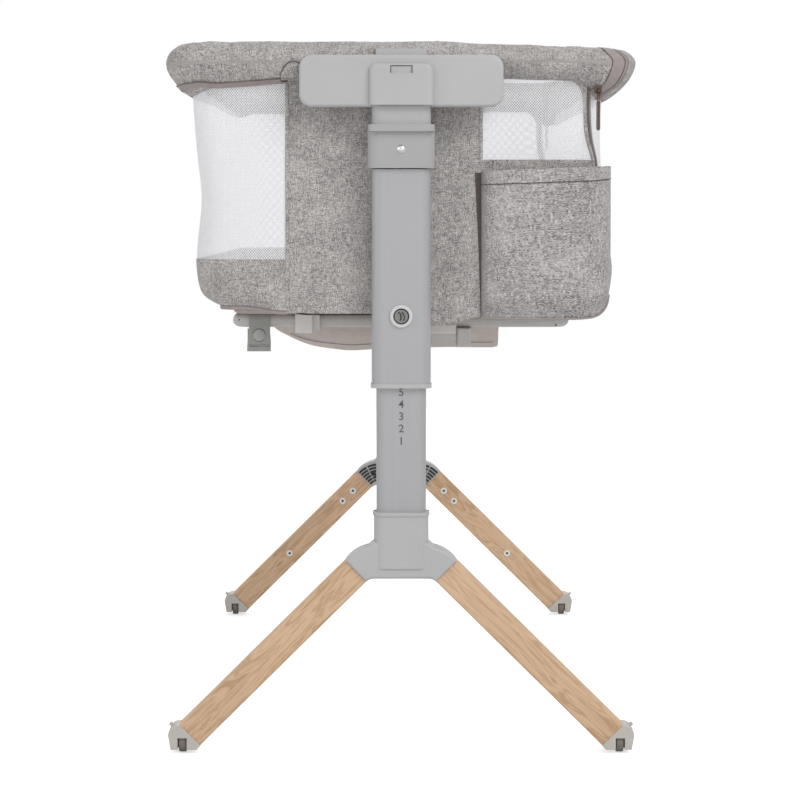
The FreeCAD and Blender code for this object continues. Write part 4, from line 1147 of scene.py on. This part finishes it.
sleeve = board_sleeve()
under = surface("under_cloth", under_point, steps(0, 1, 260), steps(0, 1, 8), m_taupe, "base",
                uv=lambda u, v: (u * 2.5, v * 0.08))
sling_us = steps(SLING_X0, -0.15, 10)[:-1] + steps(-0.15, 0.11, 40)[:-1] + steps(0.11, SLING_X1, 16)
sling = surface("sling_cloth", sling_point, sling_us, steps(-SLING_Y, SLING_Y, 40), m_sling_painted_light, "base")
for end, side in ENDS:
    surface(end + "_sling_end", lambda u, v: sling_end_point(u, v, side), sling_us, steps(0, 1, 6), m_sling_painted_light,
            "base", uv=lambda u, v: (u, v * 0.035))
    welt = [sling_end_point(u, 0.17, side) + Vector((0, side * 0.0005, 0))
            for u in steps(SLING_X0 + 0.03, SLING_X1 - 0.008, 50)]
    tube_along(end + "_sling_welt", welt, 0.0004, m_tape, "base", 6)
for piece in (sleeve, under, sling):
    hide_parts("base_cloth")

# ------------------------------------------------------------------ mattress
MAT_X, MAT_Y, MAT_R = 0.222, 0.398, 0.034
MAT_TOP, MAT_LOW = 0.5632, 0.5312
# Each row is how far the side stands out from the top's border, and its height.
MAT_SIDE = ((0.0050, 0.5628), (0.0095, 0.5600), (0.0125, 0.5560), (0.0130, 0.5510), (0.0100, 0.5460),
            (0.0040, 0.5410), (-0.0050, 0.5362), (-0.0130, 0.5325), (-0.0190, MAT_LOW))


def corner_in(x, y):
    """A place on the mattress's rectangle, pulled in to its rounded corner."""
    hx, hy, r = MAT_X, MAT_Y, MAT_R
    dx, dy = abs(x) - (hx - r), abs(y) - (hy - r)
    if dx > 0 and dy > 0:
        shrink = max(dx, dy) / math.hypot(dx, dy)
        return (math.copysign(hx - r + dx * shrink, x), math.copysign(hy - r + dy * shrink, y))
    return x, y


def build_mattress():
    """A quilted pad: a top grid, rings down its side to a flat bottom, and a welt round its edge."""
    nx, ny = 56, 100
    verts, uvs, pinned = [], [], []
    for j, y in enumerate(steps(-MAT_Y, MAT_Y, ny)):
        for i, x in enumerate(steps(-MAT_X, MAT_X, nx)):
            px, py = corner_in(x, y)
            sewn = i % 8 == 4 and 1 < j < ny - 1 or j % 10 == 5 and 1 < i < nx - 1
            if sewn:
                pinned.append(len(verts))
            verts.append(Vector((px, py, MAT_TOP - (0.0022 if sewn else 0.0))))
            uvs.append((px, py))
    faces = grid_faces(ny + 1, nx + 1)
    row = nx + 1
    border = (list(range(row)) + [j * row + nx for j in range(1, ny + 1)]
              + [ny * row + i for i in range(nx - 1, -1, -1)] + [j * row for j in range(ny - 1, 0, -1)])
    rings = [border]
    count = len(border)
    for out, z in MAT_SIDE:
        rings.append(list(range(len(verts), len(verts) + count)))
        for k, index in enumerate(border):
            here = verts[index]
            along = verts[border[(k + 1) % count]] - verts[border[k - 1]]
            n = Vector((along.y, -along.x, 0)).normalized()
            girth = 0.02 + (MAT_TOP - z)
            verts.append(Vector((here.x + n.x * out, here.y + n.y * out, z)))
            uvs.append((here.x + n.x * girth, here.y + n.y * girth))
    centre = len(verts)
    verts.append(Vector((0, 0, MAT_LOW)))
    uvs.append((0, 0))
    for upper, lower in zip(rings, rings[1:]):
        faces += [(upper[k], upper[k - 1], lower[k - 1], lower[k]) for k in [*range(1, count), 0]]
    faces += [(lower[k], lower[k - 1], centre) for k in [*range(1, count), 0]]
    pad = make("mattress_pad", verts, faces, uvs, m_mattress, "base")
    inflate(pad, 3.0, 16, 0.006, pinned + rings[-1] + rings[-2] + [centre], 0.02)
    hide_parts("mattress")
    welt = []
    for index in rings[3]:
        v = pad.data.vertices[index].co
        welt.append(v + (v - Vector((0, v.y * 0.999, v.z))).normalized() * 0.0006)
    tube_along("mattress_welt", welt, 0.0021, m_piping, "base", closed=True)


build_mattress()

# ------------------------------------------------------------------ strap that ties the crib to a bed
STRAP_X, STRAP_W = -0.1745, 0.0145
STUD_PLACE = (STRAP_X + 0.0005, -0.3490, 0.4925)


def squared(value, power):
    """A sine or cosine pushed out towards 1, which turns a circle into a rounded box."""
    return math.copysign(abs(value) ** power, value)


def ribbon(name, path, half_width, thickness, drift):
    """A flat strap along a path in Y and Z; drift(t) moves it sideways, and the outer layer flares."""
    section = [(squared(math.cos(a), 0.35) * half_width, squared(math.sin(a), 0.6) * thickness / 2)
               for a in circle(24)]
    verts, uvs = [], []
    travelled = 0.0
    for i, (y, z) in enumerate(path):
        y0, z0 = path[max(i - 1, 0)]
        y1, z1 = path[min(i + 1, len(path) - 1)]
        ahead = Vector((0, y1 - y0, z1 - z0)).normalized()
        up = Vector((0, -ahead.z, ahead.y))
        if i:
            travelled += math.hypot(y - y0, z - z0)
        middle = STRAP_X + drift(i / (len(path) - 1))
        flare = 0.90 + 0.10 * smooth((0.500 - z) / 0.02) if half_width == STRAP_W else 0.98
        for x, t in section:
            verts.append(Vector((middle + x * flare, y, z)) + up * t)
            uvs.append((x, travelled))
    return make(name, verts, tube_faces(len(path), 24), uvs, m_webbing, "base")


def lathe(name, profile, centre, axis, material, body, sides=32):
    """A turned form: profile of (radius, height) along axis from centre."""
    axis = Vector(axis).normalized()
    side = axis.orthogonal().normalized()
    other = axis.cross(side)
    verts, uvs = [], []
    for r, h in profile:
        for a in circle(sides):
            verts.append(Vector(centre) + axis * h + (side * math.cos(a) + other * math.sin(a)) * r)
            uvs.append((r * math.cos(a), r * math.sin(a)))
    return make(name, verts, tube_faces(len(profile), sides, inward=True), uvs, material, body)


loop_path = []
for k in range(17):
    a = math.radians(-40 + 220 * k / 16)
    loop_path.append((-0.338 + 0.0096 * math.cos(a), 0.5105 + 0.0092 * math.sin(a)))
for z in steps(0.5085, 0.4728, 18):
    t = (0.5085 - z) / 0.0357
    loop_path.append((-0.3476 - 0.0010 * math.sin(math.pi * t), z))
back_path = [(-0.3456 - 0.0004 * math.sin(6 * t), lerp(0.4730, 0.5005, t)) for t in steps(0, 1, 14)]
strap = ribbon("strap_webbing", loop_path, STRAP_W, 0.0017, lambda t: 0.0010 * math.sin(t * 3.0))
ribbon("strap_back_layer", back_path, STRAP_W - 0.0004, 0.0016, lambda t: 0.0)
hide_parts("bed_strap")

STUD_SEAT = ((0.0082, 0.0), (0.0082, 0.0004), (0.0001, 0.0004))
STUD = ((0.0074, 0.0), (0.0076, 0.0006), (0.0074, 0.0011), (0.0068, 0.0013), (0.0064, 0.0011),
        (0.0060, 0.0013), (0.0045, 0.0018), (0.0022, 0.0021), (0.0004, 0.0022))
lathe("strap_stud_seat", STUD_SEAT, STUD_PLACE, (0, -1, 0), m_thread, "base")
lathe("strap_stud", STUD, STUD_PLACE, (0, -1, 0), m_stud, "base")
for k, z in enumerate((0.4788, 0.4806)):
    row = [Vector((STRAP_X + 0.001 + x, -0.34905, z + 0.0004 * math.sin(x * 300)))
           for x in steps(-0.0125, 0.0125, 14)]
    tube_along("strap_stitch_%d" % k, row, 0.00022, m_thread, "base", 6)

# ------------------------------------------------------------------ faces of the base's clips and latch
CLIP_FACE = (0.0216, 0.0053, 0.0237)
for name, size, middle in (("near_clip_face", CLIP_FACE, (-0.1188, -0.35215, 0.50735)),
                           ("near_latch_plate", (0.0307, 0.0070, 0.0118), (0.05185, -0.351, 0.5007)),
                           ("far_clip_face", CLIP_FACE, (0.1188, 0.35215, 0.50735))):
    block(name, size, middle, 0.0022, 4, m_block, "base", profile=0.6)

# ------------------------------------------------------------------ grille in the hubs, washers on the legs
GRILLE_X, GRILLE_Z, GRILLE_INSIDE = 0.030, 0.198, 0.0333
INNER_FACE = 0.425
LEG_TOP = (0.0539, 0.2178)


def grille_slot(half, r0, r1, low_angle, high_angle):
    """The outline of one curved slot, as places (x, z) on the hub's inner face."""
    a0, a1 = math.radians(low_angle), math.radians(high_angle)
    path = [(r0, a) for a in steps(a0, a1, 5)] + [(r1, a) for a in steps(a1, a0, 5)]
    return [(half * max(GRILLE_X + r * math.cos(a), GRILLE_INSIDE), GRILLE_Z + r * math.sin(a))
            for r, a in path]


for end, side in ENDS:
    hub_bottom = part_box(end + "_leg_hub")[0][2]
    verts, faces, uvs = [], [], []
    for half in (-1, 1):
        for row in range(6):
            r0 = 0.0178 + 0.0049 * row
            first_angle = math.degrees(math.acos(0.0016 / r0)) - LEG_TILT
            for low_angle, high_angle in ((first_angle, 62), (64.5, 86), (88.5, 110)):
                spots = grille_slot(half, r0, r0 + 0.0034, low_angle, high_angle)
                if min(z for x, z in spots) < hub_bottom + 0.002 or max(abs(x) for x, z in spots) < 0.036:
                    continue
                start, count = len(verts), len(spots)
                for y in (0.0, 0.0005):
                    verts += [Vector((x, side * (INNER_FACE - y), z)) for x, z in spots]
                    uvs += spots
                faces.append(tuple(range(start + count, start + 2 * count)))
                for k in range(count):
                    n = (k + 1) % count
                    faces.append((start + k, start + n, start + count + n, start + count + k))
    make(end + "_hub_grille", verts, faces, uvs, m_dark, end + "_legs", smooth_faces=False)

WASHER = ((0.0052, 0.0), (0.0052, 0.0010), (0.0047, 0.0014), (0.0026, 0.0015), (0.0019, 0.0013))
SOCKET = ((0.0021, 0.0012), (0.0019, 0.00135), (0.0004, 0.00135), (0.0001, 0.00135))
for end, side in ENDS:
    for k, spot in enumerate((0.026, 0.049, 0.168)):
        for half, hand in ((-1, "left"), (1, "right")):
            x = half * (LEG_TOP[0] + spot * math.cos(math.radians(LEG_TILT)))
            z = LEG_TOP[1] - spot * math.sin(math.radians(LEG_TILT))
            name = "%s_washer_%d_%s" % (end, k, hand)
            where = (x, side * (INNER_FACE + 0.003), z)
            lathe(name, WASHER, where, (0, -side, 0), m_washer, end + "_legs")
            lathe(name + "_socket", SOCKET, where, (0, -side, 0), m_dark, end + "_legs", 12)

# ------------------------------------------------------------------ figures of the height scale
FIGURES = (("5", 0.4307), ("4", 0.4163), ("3", 0.4020), ("2", 0.3875), ("1", 0.3727))
FIGURE_SIZE, FIGURE_RAISED, FIGURE_Y = 0.0132, 0.00012, 0.4511


def figure(end, side, text, z):
    """One printed figure, turned to face out of its end."""
    letter = bpy.data.curves.new("figure_curve", "FONT")
    letter.body = text
    letter.size = FIGURE_SIZE
    letter.align_x = "CENTER"
    letter.align_y = "CENTER"
    letter.extrude = FIGURE_RAISED
    letter.offset = FIGURE_RAISED
    made = in_scene("figure_made", letter)
    bpy.context.view_layer.update()
    mesh = bpy.data.meshes.new_from_object(made.evaluated_get(bpy.context.evaluated_depsgraph_get()))
    bpy.data.objects.remove(made)
    bpy.data.curves.remove(letter)
    turn = Matrix.Rotation(math.radians(90), 4, "X")
    if side > 0:
        turn = Matrix.Rotation(math.radians(180), 4, "Z") @ turn
    mesh.transform(Matrix.Translation((0, side * FIGURE_Y, z)) @ turn)
    mesh.materials.clear()
    mesh.materials.append(m_ink)
    piece_of(end + "_figure_" + text, mesh, end + "_legs")


for end, side in ENDS:
    for text, z in FIGURES:
        figure(end, side, text, z)


# ------------------------------------------------------------------ buttons, pulls, small marks
def depthwise(_):
    return Vector((0, 1, 0))


for end, side in ENDS:
    low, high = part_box(end + "_button")
    face = low[1] if side < 0 else high[1]
    mid = (low[2] + high[2]) / 2
    radius = 0.0086
    edge = [Vector((radius * math.cos(a), face - side * 0.0004, mid + radius * math.sin(a)))
            for a in circle(40)]
    tube_along(end + "_button_edge", edge, 0.0006, m_dark, end + "_button", 6, depthwise,
               True)
    for k, x in enumerate((-0.0012, 0.0026)):
        arc = []
        for t in steps(0, 1, 10):
            a = math.radians(lerp(-34, 60, t))
            arc.append(Vector((side * -1 * (x - 0.0052 + 0.0062 * math.cos(a)), face + side * 0.0001,
                               mid + 0.0068 * math.sin(a) - 0.0010)))
        tube_along("%s_button_rib_%d" % (end, k), arc, 0.0007, m_dark, end + "_button", 6)


def zip_pull(end, side):
    """A ring, a link and a leather tab with two rows of stitches, hung under the slider."""
    body = end + "_zip_pull"
    low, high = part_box(body)
    top = high[2]

    def place(x, y, z):
        return Vector(((low[0] + high[0]) / 2 + x, (low[1] + high[1]) / 2 + y, z))

    for part, wide, y, drop, tall, radius in (("_pull_ring", 0.0019, 0, 0.0035, 0.0030, 0.00065),
                                              ("_pull_link", 0.0013, 0.0004, 0.0098, 0.0040, 0.00055)):
        loop = [place(wide * math.sin(a), y, top - drop + tall * math.cos(a)) for a in circle(20)]
        tube_along(end + part, loop, radius, m_zip, body, 8, depthwise, True)
    rows, sides = 26, 16
    verts, uvs = [], []
    for t in steps(0, 1, rows):
        z = lerp(top - 0.0130, top - 0.0480, t)
        width = 0.0024 * min(1.0, (t * rows + 0.6) / 2.2) ** 0.5
        width *= min(1.0, ((1 - t) * rows + 0.5) / 2.0) ** 0.5
        thick = 0.0011 + 0.0002 * math.sin(math.pi * t)
        for a in circle(sides):
            c, s = math.cos(a), math.sin(a)
            verts.append(place(squared(c, 0.5) * width, squared(s, 0.5) * thick, z))
            uvs.append((c * width, z))
    leather = make(end + "_pull_tab", verts, tube_faces(rows + 1, sides), uvs, m_leather, body)
    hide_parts(body)
    for edge in (-1, 1):
        line = [place(edge * 0.0016, side * 0.00125, z) for z in steps(top - 0.016, top - 0.0455, 12)]
        tube_along("%s_pull_stitch_%d" % (end, edge + 1), line, 0.00022, m_tape, body, 6)


for end, side in ENDS:
    zip_pull(end, side)

# Dark discs at the small holes near the base tube's ends: painted shade of the holes.
HOLE_SHADE_DISC = ((0.0011, 0.0), (0.0011, 0.0004), (0.0006, 0.0005), (0.0001, 0.0005))
for end, side in ENDS:
    for k, (x, y, z) in enumerate(((-0.1988, 0.3409, 0.5110), (0.1905, 0.3452, 0.5048))):
        lathe("%s_tube_hole_painted_shade_%d" % (end, k), HOLE_SHADE_DISC, (-side * x, side * y, z), (0, side, 0), m_dark, "base",
              12)


# ------------------------------------------------------------------ stage and light
def lay_floor():
    """A pale floor that the camera sees as white."""
    half, shown = 4, 0.56
    mesh = bpy.data.meshes.new("floor")
    corners = [(-half, -half, 0), (half, -half, 0), (half, half, 0), (-half, half, 0)]
    mesh.from_pydata(corners, [], [(0, 1, 2, 3)])
    in_scene("floor", mesh)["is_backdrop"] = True
    s = Shader("pale_floor", (0.84, 0.84, 0.84, 1), 0.8, specular=0.1)
    s.bsdf.inputs["Emission Color"].default_value = (1, 1, 1, 1)
    seen = s.node("ShaderNodeLightPath").outputs["Is Camera Ray"]
    s.link(s.math("MULTIPLY", seen, shown), s.bsdf.inputs["Emission Strength"])
    mesh.materials.append(s.mat)


def light_world():
    """White where the camera, a mirror or glass sees it, and dimmer as light on the object."""
    world = bpy.data.worlds.new("studio")
    bpy.context.scene.world = world
    world.use_nodes = True
    tree = world.node_tree
    background = tree.nodes["Background"]
    background.inputs["Color"].default_value = (1, 1, 1, 1)
    path = tree.nodes.new("ShaderNodeLightPath")
    seen = path.outputs["Is Camera Ray"]
    for ray in ("Is Transmission Ray", "Is Glossy Ray"):
        total = tree.nodes.new("ShaderNodeMath")
        total.operation = "ADD"
        tree.links.new(seen, total.inputs[0])
        tree.links.new(path.outputs[ray], total.inputs[1])
        seen = total.outputs[0]
    level = tree.nodes.new("ShaderNodeMapRange")
    level.inputs["To Min"].default_value = 0.52
    level.inputs["To Max"].default_value = 1.0
    tree.links.new(seen, level.inputs["Value"])
    tree.links.new(level.outputs["Result"], background.inputs["Strength"])


def lamp(name, place, target, size, watts):
    """A square soft lamp at place that points at target."""
    data = bpy.data.lights.new(name, "AREA")
    data.shape = "SQUARE"
    data.size = size
    data.energy = watts
    obj = in_scene(name, data)
    obj.location = place
    obj.rotation_euler = (Vector(target) - Vector(place)).to_track_quat("-Z", "Y").to_euler()


lay_floor()
light_world()
lamp("key", (1.7, -2.5, 2.7), (0, 0, 0.45), 1.8, 49)
lamp("fill", (-2.6, -1.9, 1.7), (0, 0, 0.5), 2.6, 20)
lamp("low", (0.2, -2.9, 0.22), (0, 0, 0.45), 1.6, 6.5)
lamp("back", (0.0, 2.9, 2.4), (0, 0, 0.5), 2.6, 40)
bpy.context.scene.view_settings.view_transform = "Standard"

low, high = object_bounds()
